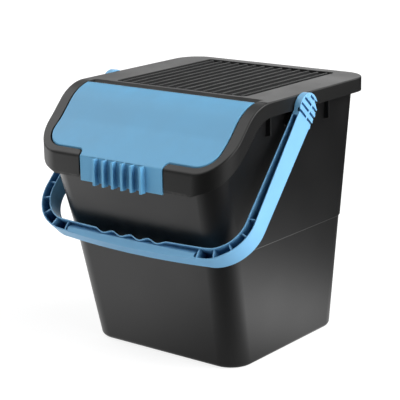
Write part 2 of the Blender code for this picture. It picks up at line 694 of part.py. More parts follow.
def rest_angle():
    """How far the hanging handle leans down when its bar lies against the bucket's front."""
    low, high = 0, pi / 2
    for halving in range(REST_HALVINGS):
        angle = (low + high) / 2
        bar_y = PIVOT_Y - BAR_INNER_REACH * cos(angle) + CHANNEL_BACK * sin(angle)
        bar_z = PIVOT_HEIGHT - BAR_INNER_REACH * sin(angle) - CHANNEL_BACK * cos(angle)
        if front_wall(bar_z) - LEDGE_STEP - REST_GAP > bar_y:
            low = angle
        else:
            high = angle
    return low


def handle_frame():
    """Where the handle hangs: across, along its arms away from the pivot, and towards its back."""
    angle = rest_angle()
    along = (-cos(angle), -sin(angle))
    back = (sin(angle), -cos(angle))
    return Matrix(((1, 0, 0, 0), (0, along[0], back[0], PIVOT_Y),
                   (0, along[1], back[1], PIVOT_HEIGHT), (0, 0, 0, 1)))


def arm_station(reach):
    """Outer and inner edge of the right arm at a distance from the pivot, and its normal."""
    share = reach / BEND_REACH
    outer = ARM_TOP_OUTER + (BEND_HALF_WIDTH + BEND_OUTER_RADIUS - ARM_TOP_OUTER) * share
    inner = ARM_TOP_INNER + (BEND_HALF_WIDTH + BEND_INNER_RADIUS - ARM_TOP_INNER) * share
    return (outer, reach), (inner, reach), (1, 0)


def bend_station(angle):
    """Outer and inner edge in the right bend."""
    normal = (cos(angle), sin(angle))
    edges = []
    for radius in (BEND_OUTER_RADIUS, BEND_INNER_RADIUS):
        edges.append((BEND_HALF_WIDTH + radius * normal[0], BEND_REACH + radius * normal[1]))
    return edges[0], edges[1], normal


def bar_station(across):
    """Outer and inner edge of the front bar, with the finger hollows in the inner edge."""
    share = 1 - (across / BEND_HALF_WIDTH) ** 2
    hollow = 0
    if abs(across) < FINGER_COUNT * FINGER_PITCH / 2:
        hollow = FINGER_DEPTH * sin(pi * across / FINGER_PITCH) ** 2
    outer = BEND_REACH + BEND_OUTER_RADIUS + BAR_OUTER_BOW * share
    inner = BEND_REACH + BEND_INNER_RADIUS + BAR_INNER_BOW * share + hollow
    return (across, outer), (across, inner), (0, 1)


def flipped(stations):
    """The same stations on the left side, in the order that continues from the right."""
    turned = []
    for outer, inner, normal in reversed(stations):
        turned.append(((-outer[0], outer[1]), (-inner[0], inner[1]), (-normal[0], normal[1])))
    return turned


def bend_stations(start, end):
    steps = max(2, round(CORNER_STEPS * (end - start) / (pi / 2)))
    return [bend_station(start + (end - start) * step / steps) for step in range(steps + 1)]


def bar_stations(start, end):
    """Stations along the bar from start to end, dense where the finger hollows are."""
    pitch = FINGER_PITCH / FINGER_STEPS
    count = FINGER_COUNT * FINGER_STEPS
    inner = [pitch * (count / 2 - step) for step in range(count + 1)]
    places = [start] + [place for place in inner if end < place < start] + [end]
    return [bar_station(place) for place in places]


def band(stations, wall):
    """A closed outline along stations, inset by a wall from both edges."""
    outer = [(point[0] - normal[0] * wall, point[1] - normal[1] * wall) for point, other, normal in stations]
    inner = [(point[0] + normal[0] * wall, point[1] + normal[1] * wall) for other, point, normal in stations]
    return outer + list(reversed(inner))


def cross_rib_outlines():
    """Outlines of the cross ribs in the handle's plane, ending inside the walls."""
    stations = [arm_station(BEND_REACH - CROSS_RIB_SETBACK)]
    stations += [bend_station(angle) for angle in CROSS_RIB_ANGLES]
    stations.append(bar_station(BEND_HALF_WIDTH - CROSS_RIB_SETBACK))
    outlines = []
    for outer, inner, normal in stations + flipped(stations):
        half = (normal[1] * CROSS_RIB / 2, -normal[0] * CROSS_RIB / 2)
        top = (outer[0] - normal[0] * CHANNEL_WALL / 2, outer[1] - normal[1] * CHANNEL_WALL / 2)
        foot = (inner[0] + normal[0] * CHANNEL_WALL / 2, inner[1] + normal[1] * CHANNEL_WALL / 2)
        outlines.append([(top[0] + half[0], top[1] + half[1]), (top[0] - half[0], top[1] - half[1]),
                         (foot[0] - half[0], foot[1] - half[1]), (foot[0] + half[0], foot[1] + half[1])])
    return outlines


def behind_front(name, wall):
    """The handle's thickness in side view: from its open face to its tapering back face."""
    reach = BEND_REACH + BEND_OUTER_RADIUS + OVERRUN
    outline = [(-OVERRUN, -CHANNEL_FRONT - OVERRUN), (reach, -CHANNEL_FRONT - OVERRUN),
               (reach, CHANNEL_BACK - wall), (BEND_REACH + CHANNEL_WALL, CHANNEL_BACK - wall),
               (0, ARM_BACK_TOP - wall), (-OVERRUN, ARM_BACK_TOP - wall)]
    half = BEND_HALF_WIDTH + BEND_OUTER_RADIUS + OVERRUN
    return extruded(name, [outline], -half, half, PLANE_YZ)


def head_back(reach, inset):
    """How far back a head's edge lies at a distance from the pivot, inset towards its middle."""
    above = min(reach + HEAD_CENTRE_RISE, 0)
    return HEAD_CENTRE_BACK + ((HEAD_RADIUS - inset) ** 2 - above ** 2) ** 0.5


def tooth_tips():
    """Distances of the teeth's tips from the pivot, from the top one down."""
    return [-TOOTH_LAST_RISE - TOOTH_PITCH * index for index in range(TOOTH_COUNT - 1, -1, -1)]


def head_outline():
    """Side view of a head: round top, flush front, toothed back."""
    tips = tooth_tips()
    centre = (-HEAD_CENTRE_RISE, HEAD_CENTRE_BACK)
    top_angle = acos((tips[0] + HEAD_CENTRE_RISE) / HEAD_RADIUS)
    outline = [(-CHANNEL_TOP_RISE, -CHANNEL_FRONT), (-HEAD_FRONT_RISE, -CHANNEL_FRONT)]
    outline += arc(centre, HEAD_RADIUS, radians(-60), top_angle - 2 * pi, 2 * CORNER_STEPS)
    for tip, after in zip(tips, tips[1:] + [None]):
        root = tip + TOOTH_UNDERCUT
        outline.append((root, head_back(root, TOOTH_DEPTH)))
        if after is not None:
            outline.append((after, head_back(after, 0)))
    outline.append((-CHANNEL_TOP_RISE, ARM_BACK_TOP - CHANNEL_WALL / 2))
    return outline


def head_grooves(name):
    """Two rows of short level grooves in a head's outer face, one under each tooth."""
    outlines = []
    for tip in tooth_tips()[:-1]:
        low = tip + TOOTH_UNDERCUT / 2
        high = low + GROOVE_WIDTH
        back = head_back(low, 0)
        front = 2 * HEAD_CENTRE_BACK - head_back(low, GROOVE_EDGE_MARGIN)
        outlines.append([(low, front), (high, front), (high, GROOVE_SPLIT_START), (low, GROOVE_SPLIT_START)])
        outlines.append([(low, GROOVE_SPLIT_END), (high, GROOVE_SPLIT_END),
                         (high, back + OVERRUN), (low, back + OVERRUN)])
    return [extruded(name, [outline], HEAD_OUTER - GROOVE_DEPTH, HEAD_OUTER + OVERRUN, PLANE_YZ)
            for outline in outlines]


def build_handle():
    """The handle, made flat round its pivot and then hung at its resting angle."""
    deep = ARM_BACK_TOP + OVERRUN / 2
    right = [arm_station(-CHANNEL_TOP_RISE - 2 * HEAD_OVERLAP)] + bend_stations(0, pi / 2)
    path = right + bar_stations(BEND_HALF_WIDTH, -BEND_HALF_WIDTH)[1:-1] + flipped(right)
    handle = extruded("carry_handle", [band(path, 0)], -CHANNEL_FRONT, deep)
    keep_inside(handle, behind_front("handle_back", 0))

    start = [arm_station(-CHANNEL_TOP_RISE - HEAD_OVERLAP)] + bend_stations(0, pi / 2)
    trough = start + bar_stations(BEND_HALF_WIDTH, -BEND_HALF_WIDTH)[1:-1] + flipped(start)
    hollow = extruded("hollow", [band(trough, CHANNEL_WALL)], -CHANNEL_FRONT - OVERRUN / 4, deep)
    cut(handle, keep_inside(hollow, behind_front("web", CHANNEL_WALL)))
    for outline in cross_rib_outlines():
        join(handle, extruded("cross_rib", [outline], -CHANNEL_FRONT + CROSS_RIB_RECESS,
                              CHANNEL_BACK - CHANNEL_WALL / 2))

    def head(name):
        block = extruded(name, [head_outline()], HEAD_INNER, HEAD_OUTER, PLANE_YZ)
        return cut(block, *head_grooves("groove"))

    join(handle, *mirrored(head, "head"))
    inner = wall_half_width(PIVOT_HEIGHT) - BUCKET_WALL - BOSS_INSIDE - STUD_CLEARANCE
    join(handle, *mirrored(lambda name: cylinder(name, STUD_RADIUS, inner - STUD_HEAD_LENGTH / 2,
                                                 ARM_TOP_INNER + CHANNEL_WALL, 0, 0), "stud"))
    join(handle, *mirrored(lambda name: cylinder(name, STUD_HEAD_RADIUS, inner - STUD_HEAD_LENGTH, inner,
                                                 0, 0), "stud_head"))
    handle.data.transform(handle_frame())
    return handle, Vector((0, PIVOT_Y, PIVOT_HEIGHT))


def finish(piece, name, material, origin=Vector((0, 0, 0))):
    """Name a piece, set its origin, material and shading, and put it with the parts."""
    shape = bmesh.new()
    shape.from_mesh(piece.data)
    bmesh.ops.dissolve_degenerate(shape, dist=WELD, edges=shape.edges)
    shape.to_mesh(piece.data)
    shape.free()
    piece.name = name
    piece.data.name = name
    piece.data.transform(Matrix.Translation(-origin))
    piece.location = origin
    piece.data.materials.clear()
    piece.data.materials.append(material)
    piece.data.shade_smooth()
    piece.data.set_sharp_from_angle(angle=radians(30))
    tools.objects.unlink(piece)
    parts.objects.link(piece)


clear_scene()
parts = bpy.data.collections.new(OBJECT_NAME)
tools = bpy.data.collections.new("construction")
bpy.context.scene.collection.children.link(parts)
bpy.context.scene.collection.children.link(tools)

finish(build_bucket(), "bucket", make_material("black_body_plastic", (0.030, 0.030, 0.031), 0.38))
finish(build_lid(), "lid_frame", make_material("black_lid_plastic", (0.040, 0.040, 0.039), 0.42))
flap, flap_axis = build_flap()
finish(flap, "flap", make_material("blue_flap_plastic", (0.165, 0.400, 0.645), 0.40), flap_axis)
handle, handle_axis = build_handle()
finish(handle, "carry_handle", make_material("blue_handle_plastic", (0.165, 0.400, 0.645), 0.36), handle_axis)
bpy.data.collections.remove(tools)
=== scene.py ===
import json
from math import acos, asin, atan2, cos, hypot, pi, radians, sin, tan

import bmesh
import bpy
from bpy.props import FloatProperty, FloatVectorProperty, IntProperty, PointerProperty
from mathutils import Matrix, Vector


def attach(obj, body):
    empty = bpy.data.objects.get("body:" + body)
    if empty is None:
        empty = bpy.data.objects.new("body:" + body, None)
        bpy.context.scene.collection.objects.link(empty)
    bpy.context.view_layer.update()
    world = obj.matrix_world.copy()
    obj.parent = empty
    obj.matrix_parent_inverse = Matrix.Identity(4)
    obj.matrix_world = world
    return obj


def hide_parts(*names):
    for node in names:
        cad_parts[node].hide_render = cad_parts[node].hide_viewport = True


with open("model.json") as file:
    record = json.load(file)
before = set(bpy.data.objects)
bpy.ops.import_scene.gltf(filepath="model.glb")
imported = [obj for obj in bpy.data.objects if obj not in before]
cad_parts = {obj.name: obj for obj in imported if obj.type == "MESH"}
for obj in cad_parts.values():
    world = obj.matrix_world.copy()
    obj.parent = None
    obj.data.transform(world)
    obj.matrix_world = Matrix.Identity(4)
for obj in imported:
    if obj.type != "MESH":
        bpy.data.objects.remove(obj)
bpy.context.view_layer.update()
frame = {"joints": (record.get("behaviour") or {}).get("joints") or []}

bl_info = {
    "name": "Lidded Bin",
    "version": (1, 0, 0),
    "blender": (4, 5, 0),
    "location": "View3D > Sidebar > Bin",
    "description": "Builds a moulded bin with its ribbed lid, lift-up flap and carrying handle, "
                   "and its studio",
    "category": "Object",
}

SEAT_GAP = 0.0003
OVERRUN = 0.020
WELD = 0.00001
PIECE_WELD = 0.00006
SLIVER = 0.00002
SHARP_ANGLE = radians(35)

# Lid: plan outline, side view and the skirt's lower edge
LID_HALF_WIDTH = 0.1595
LID_DEPTH = 0.352
LID_FRONT_RADIUS = 0.044
LID_BACK_RADIUS = 0.038
LID_WALL = 0.0025
GRIP_FIN_REACH = 0.008
LID_TOP = 0.360
ROLL_END_INSET = 1.05
ROLL_END_RISE = 0.03
SHOULDER_BACK = 0.0816
SHOULDER_RADIUS = 0.093
WAIST_BACK = 0.0435
WAIST_DROP = 0.0409
WAIST_RADIUS = 0.060
BROW_DROP = 0.0765
BROW_RADIUS = 0.004
INNER_BROW_RADIUS = 0.0008
SKIRT_DEPTH = 0.0196
HEM_SHOULDER_BACK = 0.092
HEM_SHOULDER_RADIUS = 0.052
HEM_WAIST_BACK = 0.0572
HEM_WAIST_DROP = 0.0556
HEM_WAIST_RADIUS = 0.060
HEM_BROW_DROP = 0.1033
HEM_BROW_RADIUS = 0.015
HEM_DROP = 0.1103

# Stacking recess, ridge and flap opening
RECESS_HALF_WIDTH = 0.1098
RECESS_BACK_MARGIN = 0.0174
RECESS_DEPTH = 0.004
RECESS_RADIUS = 0.006
RIB_SIDE_MARGIN = 0.0097
RIB_END_MARGIN = 0.0045
RIB_CHAMFER = 1 / 12
RIDGE_LENGTH = 0.0147
RIDGE_WIDTH = 0.0050
RIDGE_DROP = 0.0044
RIDGE_STEP = 0.0020
RIDGE_LEDGE_DROP = 0.0075
RIDGE_BAR_DEPTH = 0.0112
OPENING_HALF_WIDTH = 0.1425
OPENING_REAR_BACK = 0.1071
OPENING_FRONT_BACK = 0.0074
OPENING_CORNER_WIDTH = 0.030
OPENING_CORNER_LENGTH = 0.023
NOTCH_HALF_WIDTH = 0.0714
NOTCH_RADIUS = 0.005
FLAP_WALL = 0.0024
SEAT_WALL = 0.0022
SEAT_WIDTH = 0.0080
SEAT_RISER = 0.0025
GAP_GROOVE_WIDTH = 0.0030
GAP_GROOVE_DEPTH = 0.0016

# Flap, its hinge and its grip
FLAP_GAP = 0.0021
CURL_RADIUS = 0.0066
CURL_WALL = 0.0022
CURL_END_ANGLE = radians(-65)
CURL_OVERLAP = radians(4)
CURL_CLEARANCE = 0.0010
HINGE_BACK = 0.0974
HINGE_PIN_RADIUS = 0.0026
HINGE_PIN_LENGTH = 0.0040
HINGE_DISC = 0.0025
EAR_WIDTH = 0.0022
EAR_LENGTH = 0.0130
EAR_DROP = 0.0045
FIN_DROP = 0.0020
FIN_TOP_DROP = 0.0770
FIN_NOSE = 0.0020

# Bucket
BASE_HALF_WIDTH = 0.126598
BASE_FRONT = -0.096604
BASE_BACK = 0.148198
CORNER_RADIUS = 0.033
BASE_ROUND = 0.006
LEDGE_SLOPE = 0.0010
FOOT_WIDTH = 0.016
FOOT_DEPTH = 0.0015
RIM_WALL = 0.0022
RIM_SIDE_GAP = 0.0005
RIM_LIP_SHORTER = 0.006
BEAD_INSET = 0.0080
BEAD_WIDTH = 0.0020
GUSSET_THICKNESS = 0.0026
GUSSET_PLACES = (-0.0548, 0.0802)
GUSSET_FOOT_HEIGHT = 0.3122
GUSSET_FOOT_RISE = 0.0030
GUSSET_SETBACK = 0.0025

# Handle
STUD_RADIUS = 0.0060
STUD_CLEARANCE = 0.0003
STUD_HEAD_RADIUS = 0.0074
STUD_HEAD_LENGTH = 0.0028
BOSS_RADIUS = 0.0096
BOSS_INSIDE = 0.0012
BOSS_HALF_WIDTH = 0.1555
ARM_TOP_INNER = 0.1602
ARM_TOP_OUTER = 0.1700
ARM_BACK_TOP = 0.0200
BEND_HALF_WIDTH = 0.1205
BEND_REACH = 0.160482
BEND_OUTER_RADIUS = 0.058
BEND_INNER_RADIUS = 0.0434
BAR_OUTER_BOW = 0.0045
BAR_INNER_BOW = 0.0028
CHANNEL_FRONT = 0.0133
CHANNEL_BACK = 0.0132
CHANNEL_TOP_RISE = 0.0010
CROSS_RIB_RECESS = 0.0030
CROSS_RIB_SETBACK = 0.0079
CROSS_RIB_ANGLES = (radians(18), radians(45), radians(72))
TROUGH_LIP_DROP = 0.0005
TROUGH_WAVE_DROP = 0.0100
TROUGH_POCKET = 0.0042
LIP_SLOPE_START = 0.0050
LIP_SLOPE_DROP = 0.0062
LIP_WALL_SHARE = 0.62
FINGER_CREST_POWER = 1.7
FINGER_COUNT = 4
HEAD_RADIUS = 0.0205
HEAD_CENTRE_RISE = 0.0203
HEAD_CENTRE_BACK = 0.0020
HEAD_INNER = 0.1606
HEAD_OUTER = 0.1702
HEAD_FRONT_RISE = 0.0060
HEAD_FRONT_ANGLE = radians(-60)
HEAD_OVERLAP = 0.0030
TOOTH_COUNT = 5
TOOTH_PITCH = 0.0091
TOOTH_LAST_RISE = 0.0012
TOOTH_UNDERCUT = 0.0010
TOOTH_DEPTH = 0.0040
GROOVE_WIDTH = 0.0032
GROOVE_DEPTH = 0.0034
GROOVE_SPLIT_START = 0.0040
GROOVE_SPLIT_END = 0.0075
GROOVE_EDGE_MARGIN = 0.0022

# Plastics: piece, roughness, grains per metre, depth of the grain and colour of worn edges, which also paints
# their highlights
BLACK_WEAR_AND_HIGHLIGHT = (0.09, 0.09, 0.088, 1)
BLUE_WEAR_AND_HIGHLIGHT = (0.36, 0.58, 0.76, 1)
PLASTICS = (("bucket", 0.36, 1300.0, 0.00002, BLACK_WEAR_AND_HIGHLIGHT), ("lid", 0.43, 1000.0, 0.00005, BLACK_WEAR_AND_HIGHLIGHT),
            ("flap", 0.50, 1000.0, 0.00005, BLUE_WEAR_AND_HIGHLIGHT), ("handle", 0.46, 1300.0, 0.00002, BLUE_WEAR_AND_HIGHLIGHT))
PLASTIC_IOR = 1.49
GRAIN_STRENGTH = 0.6
COARSE_GRAIN = 0.35
DUST_COLOUR = (0.22, 0.215, 0.20, 1)
SHADE_SPAN = (0.96, 1.03)
MARK_SHARE = 0.4
# Reach of the edge mask, which paints worn edges together with their highlights
EDGE_WEAR_AND_HIGHLIGHT_REACH = 0.0009
# Reach of the mask that paints shade into corners and grooves
PAINTED_SHADE_REACH = 0.016
CORNER_SAMPLES = 8

# How much of a plastic's red, green and blue is left under full painted shade in corners
PAINTED_SHADE_SHARES = (0.12, 0.27, 0.40)

# Handling marks: the turn of each direction, and how fine they are along it and across
MARK_DIRECTIONS = (((0.35, 0.5, 0.9), (900.0, 22.0, 22.0)), ((0.35, -0.8, 0.9), (26.0, 700.0, 26.0)))

# How much rougher the lighter patches, handling marks, painted corner shade and dust are
ROUGHER_SHADE = 0.05
ROUGHER_MARKS = 0.25
ROUGHER_PAINTED_SHADE = 0.35
ROUGHER_DUST = 0.5

# Camera: place, and the direction back from the bin with the turn about it, in degrees
CAMERA_PLACE = (1.1825, -1.5107, 0.7062)
CAMERA_AZIMUTH = 38.187
CAMERA_ELEVATION = 14.914
CAMERA_ROLL = -1.029

# Soft lights: setting, degrees from the front round to the right, height and half width in degrees
SOFT_LIGHTS = (("back_left", 210, 8, 15), ("back_right", 126, 33, 18), ("right", 90, 8, 15),
               ("left", 270, 33, 18), ("front_left", 306, 33, 18), ("overhead", 300, 60, 22),
               ("high_right", 88, 47, 11))

# Floor, and its lit patches: degrees from the front round to the right, distance, half width and strength
FLOOR_HALF_WIDTH = 12
FLOOR_COLOUR = (0.8, 0.8, 0.8, 1)
FLOOR_WHITE = 0.80
FLOOR_VEIL = (0.33, 0.33, 0.33, 1)
FLOOR_DIM = 0.02
FLOOR_PATCHES = ((292, 1.10, 0.55, 3.44), (112, 0.28, 0.13, 1.71), (352, 0.28, 0.13, 0.58),
                 (112, 0.55, 0.25, 0.45), (322, 0.28, 0.13, 0.42), (210, 0.55, 0.25, 1.1),
                 (250, 0.45, 0.20, 0.6))

# Smoothness of the curves
CORNER_STEPS = 20
PROFILE_STEPS = 22
SMALL_STEPS = 8
ROUND_SIDES = 48
PIN_SIDES = 24
FINGER_STEPS = 16

# Places that follow from the sizes and from the frame
JOINTS = {joint["name"]: Vector(joint["pos_m"]) for joint in frame["joints"]}
PIVOT = JOINTS["handle_swing"]
HINGE = JOINTS["flap_hinge"]
REST_ANGLE = radians(47.8)
LID_BACK = (LID_DEPTH + GRIP_FIN_REACH) / 2
LID_FRONT = LID_BACK - LID_DEPTH
FLAP_SEAT = FLAP_WALL + SEAT_GAP
LID_SEAT = FLAP_SEAT + SEAT_WALL
RIM_DEPTH = LID_SEAT + SEAT_GAP
HEM_BOTTOM = LID_TOP - HEM_DROP
BELOW = HEM_BOTTOM - OVERRUN
ABOVE = LID_TOP + OVERRUN
OPENING_REAR = LID_FRONT + OPENING_REAR_BACK
OPENING_FRONT = LID_FRONT + OPENING_FRONT_BACK
RECESS_BACK = LID_BACK - RECESS_BACK_MARGIN
RECESS_FRONT = OPENING_REAR + RIDGE_LENGTH
RIM_INSET = LID_WALL + RIM_SIDE_GAP
RIM_HALF_WIDTH = LID_HALF_WIDTH - RIM_INSET
LID_REACH = LID_HALF_WIDTH + OVERRUN
RECESS_FLOOR = LID_TOP - RECESS_DEPTH
FLAP_HALF_WIDTH = OPENING_HALF_WIDTH - FLAP_GAP
BAR_OUTER = BEND_REACH + BEND_OUTER_RADIUS
BAR_INNER = BEND_REACH + BEND_INNER_RADIUS
HANDLE_REACH = BEND_HALF_WIDTH + BEND_OUTER_RADIUS + OVERRUN

LID_PROFILE = (
    (LID_BACK + OVERRUN, LID_TOP),
    (LID_FRONT + SHOULDER_BACK, LID_TOP),
    (LID_FRONT + WAIST_BACK, LID_TOP - WAIST_DROP),
    (LID_FRONT, LID_TOP - BROW_DROP),
    (LID_FRONT, BELOW),
)
HEM_PROFILE = (
    (LID_BACK + OVERRUN, LID_TOP - SKIRT_DEPTH),
    (LID_FRONT + HEM_SHOULDER_BACK, LID_TOP - SKIRT_DEPTH),
    (LID_FRONT + HEM_WAIST_BACK, LID_TOP - HEM_WAIST_DROP),
    (LID_FRONT, LID_TOP - HEM_BROW_DROP),
    (LID_FRONT, HEM_BOTTOM),
)
HEM_RADII = (HEM_SHOULDER_RADIUS, HEM_WAIST_RADIUS, HEM_BROW_RADIUS)

PLANE_XY = Matrix.Identity(4)
PLANE_YZ = Matrix(((0, 0, 1, 0), (1, 0, 0, 0), (0, 1, 0, 0), (0, 0, 0, 1)))
PLANE_XZ = Matrix(((1, 0, 0, 0), (0, 0, -1, 0), (0, 1, 0, 0), (0, 0, 0, 1)))

# Kinds of node group sockets, by the kind of their first value
SOCKET_KINDS = {float: "NodeSocketFloat", int: "NodeSocketInt", tuple: "NodeSocketVector"}


def length_property(name, description, default, least=0.001):
    """A property that holds a length in metres."""
    return FloatProperty(name=name, description=description, default=default, min=least, subtype="DISTANCE")


def share_property(name, description, default):
    """A property that holds a share, from none to all."""
    return FloatProperty(name=name, description=description, default=default, min=0, max=1, subtype="FACTOR")


def amount_property(name, description, default):
    """A property that holds a plain amount."""
    return FloatProperty(name=name, description=description, default=default, min=0)


def colour_property(name, default):
    """A property that holds the colour of a piece's plastic."""
    return FloatVectorProperty(name=name, description=f"Colour of the {name.lower()}'s plastic",
                               default=default, min=0, max=1, subtype="COLOR")


class BinBucket(bpy.types.PropertyGroup):
    """Sizes of the bucket."""
    wall: length_property("Wall", "Thickness of the bucket's wall", 0.0024)
    side_lean: amount_property("Side Lean", "How far a side leans out for each metre of height", 0.0587)
    back_lean: amount_property("Back Lean", "How far the back leans out for each metre of height", 0.0587)
    front_lean: amount_property("Front Lean", "How far the front leans out below the ledge", 0.2152)
    upper_front_lean: amount_property("Upper Front Lean", "How far the front leans out above the ledge",
                                      0.270)
    ledge_height: length_property("Ledge Height", "Height of the ledge round the bucket", 0.1632, 0.05)
    ledge_step: length_property("Ledge Step", "How far the wall steps out at the ledge", 0.0011, 0)
    edge: length_property("Edge", "Rounding of the moulded edges", 0.0004, 0.0001)


class BinLid(bpy.types.PropertyGroup):
    """Sizes of the lid and its stacking ribs."""
    rim_round: length_property("Rim Rounding", "Rounding along the lid's outer top edge", 0.0018, 0.0005)
    rib_count: IntProperty(name="Ribs", description="Number of stacking ribs", default=14, min=2)
    rib_width: length_property("Rib Width", "Width of a stacking rib", 0.0026)
    rib_height: length_property("Rib Height", "Height of a rib over the recess", 0.0036)
    edge: length_property("Edge", "Rounding of the moulded edges", 0.00045, 0.0001)


class BinFlap(bpy.types.PropertyGroup):
    """Sizes of the flap and its grip."""
    fin_count: IntProperty(name="Fins", description="Number of fins on the grip", default=6, min=2)
    fin_pitch: length_property("Fin Pitch", "Distance from one fin to the next", 0.0158, 0.005)
    fin_width: length_property("Fin Width", "Width of one fin", 0.0036)
    edge: length_property("Edge", "Rounding of the moulded edges", 0.0005, 0.0001)


class BinHandle(bpy.types.PropertyGroup):
    """Sizes of the carrying handle."""
    wall: length_property("Wall", "Thickness of the channel's walls", 0.0025)
    rib: length_property("Cross Rib", "Thickness of a cross rib", 0.0020)
    finger_pitch: length_property("Finger Pitch", "Distance between the finger hollows", 0.0308, 0.02)
    finger_depth: length_property("Finger Depth", "Depth of a finger hollow", 0.0043, 0)
    edge: length_property("Edge", "Rounding of the moulded edges", 0.0004, 0.0001)


class BinFinish(bpy.types.PropertyGroup):
    """Colours, worn edges with painted highlights, and painted corner shade of the moulded plastics."""
    bucket_colour: colour_property("Bucket", (0.006, 0.006, 0.0062))
    lid_colour: colour_property("Lid", (0.005, 0.005, 0.0049))
    flap_colour: colour_property("Flap", (0.134, 0.406, 0.660))
    handle_colour: colour_property("Handle", (0.186, 0.455, 0.725))
    # How worn the edges are, which also paints highlights along them
    wear_and_highlight: share_property("Worn and Highlit Edges", "How much the edges are worn and lit with painted highlights", 0.55)
    marks: share_property("Marks", "How strong the handling marks are", 0.15)
    # Strength of the shade painted into corners and grooves
    grime: share_property("Grime", "How much painted shade darkens corners and grooves", 0.9)
    dust: share_property("Dust", "How much dust has settled on level faces", 0.1)


class BinStudio(bpy.types.PropertyGroup):
    """Soft lights round the bin, and the camera."""
    back_left: amount_property("Back Left", "Low soft light behind the left side", 2.0)
    back_right: amount_property("Back Right", "High soft light behind the right side", 6.7)
    right: amount_property("Right", "Low soft light on the right", 7.0)
    left: amount_property("Left", "High soft light on the left", 2.4)
    front_left: amount_property("Front Left", "High soft light at the front left", 1.4)
    overhead: amount_property("Overhead", "Soft light overhead", 1.0)
    high_right: amount_property("High Right", "Small high light on the right, for the edges", 3.5)
    floor_glow: amount_property("Floor Glow", "How bright the floor is in reflections", 1.0)
    lens: FloatProperty(name="Lens", description="Focal length of the camera", default=128.906, min=10,
                        unit="CAMERA")


def arc(centre, radius, start, end, steps):
    """Points on an arc in a plane, both ends included; radius is a number or a pair."""
    wide, high = radius if isinstance(radius, tuple) else (radius, radius)
    points = []
    for step in range(steps + 1):
        angle = start + (end - start) * step / steps
        points.append((centre[0] + wide * cos(angle), centre[1] + high * sin(angle)))
    return points


def both_sides(right):
    """An outline from its right half, mirrored to the left."""
    return right + [(-across, along) for across, along in reversed(right)]


def rounded_plan(half, front, back, front_radius, back_radius, inset, steps=CORNER_STEPS):
    """A rounded rectangle in plan, inset by a distance, anticlockwise from its right front corner."""
    right = arc((half - front_radius, front + front_radius), front_radius - inset, -pi / 2, 0, steps)
    right += arc((half - back_radius, back - back_radius), back_radius - inset, 0, pi / 2, steps)
    return both_sides(right)


def offset_corners(corners, depth):
    """Move every side of an open polyline to its left by depth and join the sides again."""
    sides = []
    for (ax, ay), (bx, by) in zip(corners, corners[1:]):
        long = hypot(bx - ax, by - ay)
        across = ((ay - by) / long * depth, (bx - ax) / long * depth)
        sides.append(((ax + across[0], ay + across[1]), (bx + across[0], by + across[1])))
    moved = [sides[0][0]]
    for (a, b), (c, d) in zip(sides, sides[1:]):
        cross = (b[0] - a[0]) * (d[1] - c[1]) - (b[1] - a[1]) * (d[0] - c[0])
        along = ((c[0] - a[0]) * (d[1] - c[1]) - (c[1] - a[1]) * (d[0] - c[0])) / cross
        moved.append((a[0] + along * (b[0] - a[0]), a[1] + along * (b[1] - a[1])))
    moved.append(sides[-1][1])
    return moved


def filleted(corners, radii):
    """Round the inner corners of an open polyline; a fillet is limited by its sides."""
    points = [corners[0]]
    for before, corner, after, radius in zip(corners, corners[1:], corners[2:], radii):
        back = Vector(before) - Vector(corner)
        ahead = Vector(after) - Vector(corner)
        half_turn = back.angle(ahead) / 2
        reach = min(radius / tan(half_turn), back.length / 2, ahead.length / 2)
        start = Vector(corner) + back.normalized() * reach
        end = Vector(corner) + ahead.normalized() * reach
        middle = (back.normalized() + ahead.normalized()).normalized()
        centre = Vector(corner) + middle * (reach / cos(half_turn))
        first = atan2(start.y - centre.y, start.x - centre.x)
        last = atan2(end.y - centre.y, end.x - centre.x)
        if last - first > pi:
            last -= 2 * pi
        if first - last > pi:
            last += 2 * pi
        points += arc(tuple(centre), (start - centre).length, first, last, PROFILE_STEPS)
    points.append(corners[-1])
    return points


def lid_profile(depth):
    """The lid's side view, depth under its outer surface, from the back to the front."""
    radii = (SHOULDER_RADIUS - depth, WAIST_RADIUS + depth, max(BROW_RADIUS - depth, INNER_BROW_RADIUS))
    return filleted(offset_corners(LID_PROFILE, depth), radii)


def lid_height(y):
    """Height of the lid's outer surface over a place in plan."""
    profile = lid_profile(0)
    for (back, high), (front, low) in zip(profile, profile[1:]):
        if front <= y <= back and back > front:
            return low + (high - low) * (y - front) / (back - front)
    return profile[-2][1]


def set_up(thing, **settings):
    """Give a new modifier, node or other thing its settings."""
    for label, value in settings.items():
        setattr(thing, label, value)
    return thing


def add_object(name, data):
    """Put a mesh, a curve or a camera in the scene as an object."""
    thing = bpy.data.objects.new(name, data)
    bpy.context.scene.collection.objects.link(thing)
    return thing


def add_shape(name, shape):
    """Put a worked-out shape in the scene as an object."""
    mesh = bpy.data.meshes.new(name)
    shape.to_mesh(mesh)
    shape.free()
    return add_object(name, mesh)


def evaluated_mesh(thing):
    """A plain mesh of an object with its modifiers worked out."""
    bpy.context.view_layer.update()
    return bpy.data.meshes.new_from_object(thing.evaluated_get(bpy.context.evaluated_depsgraph_get()))


def work_out(thing):
    """Replace an object's mesh and modifiers by the plain mesh that they give."""
    mesh = evaluated_mesh(thing)
    thing.modifiers.clear()
    thing.data = mesh
    return thing


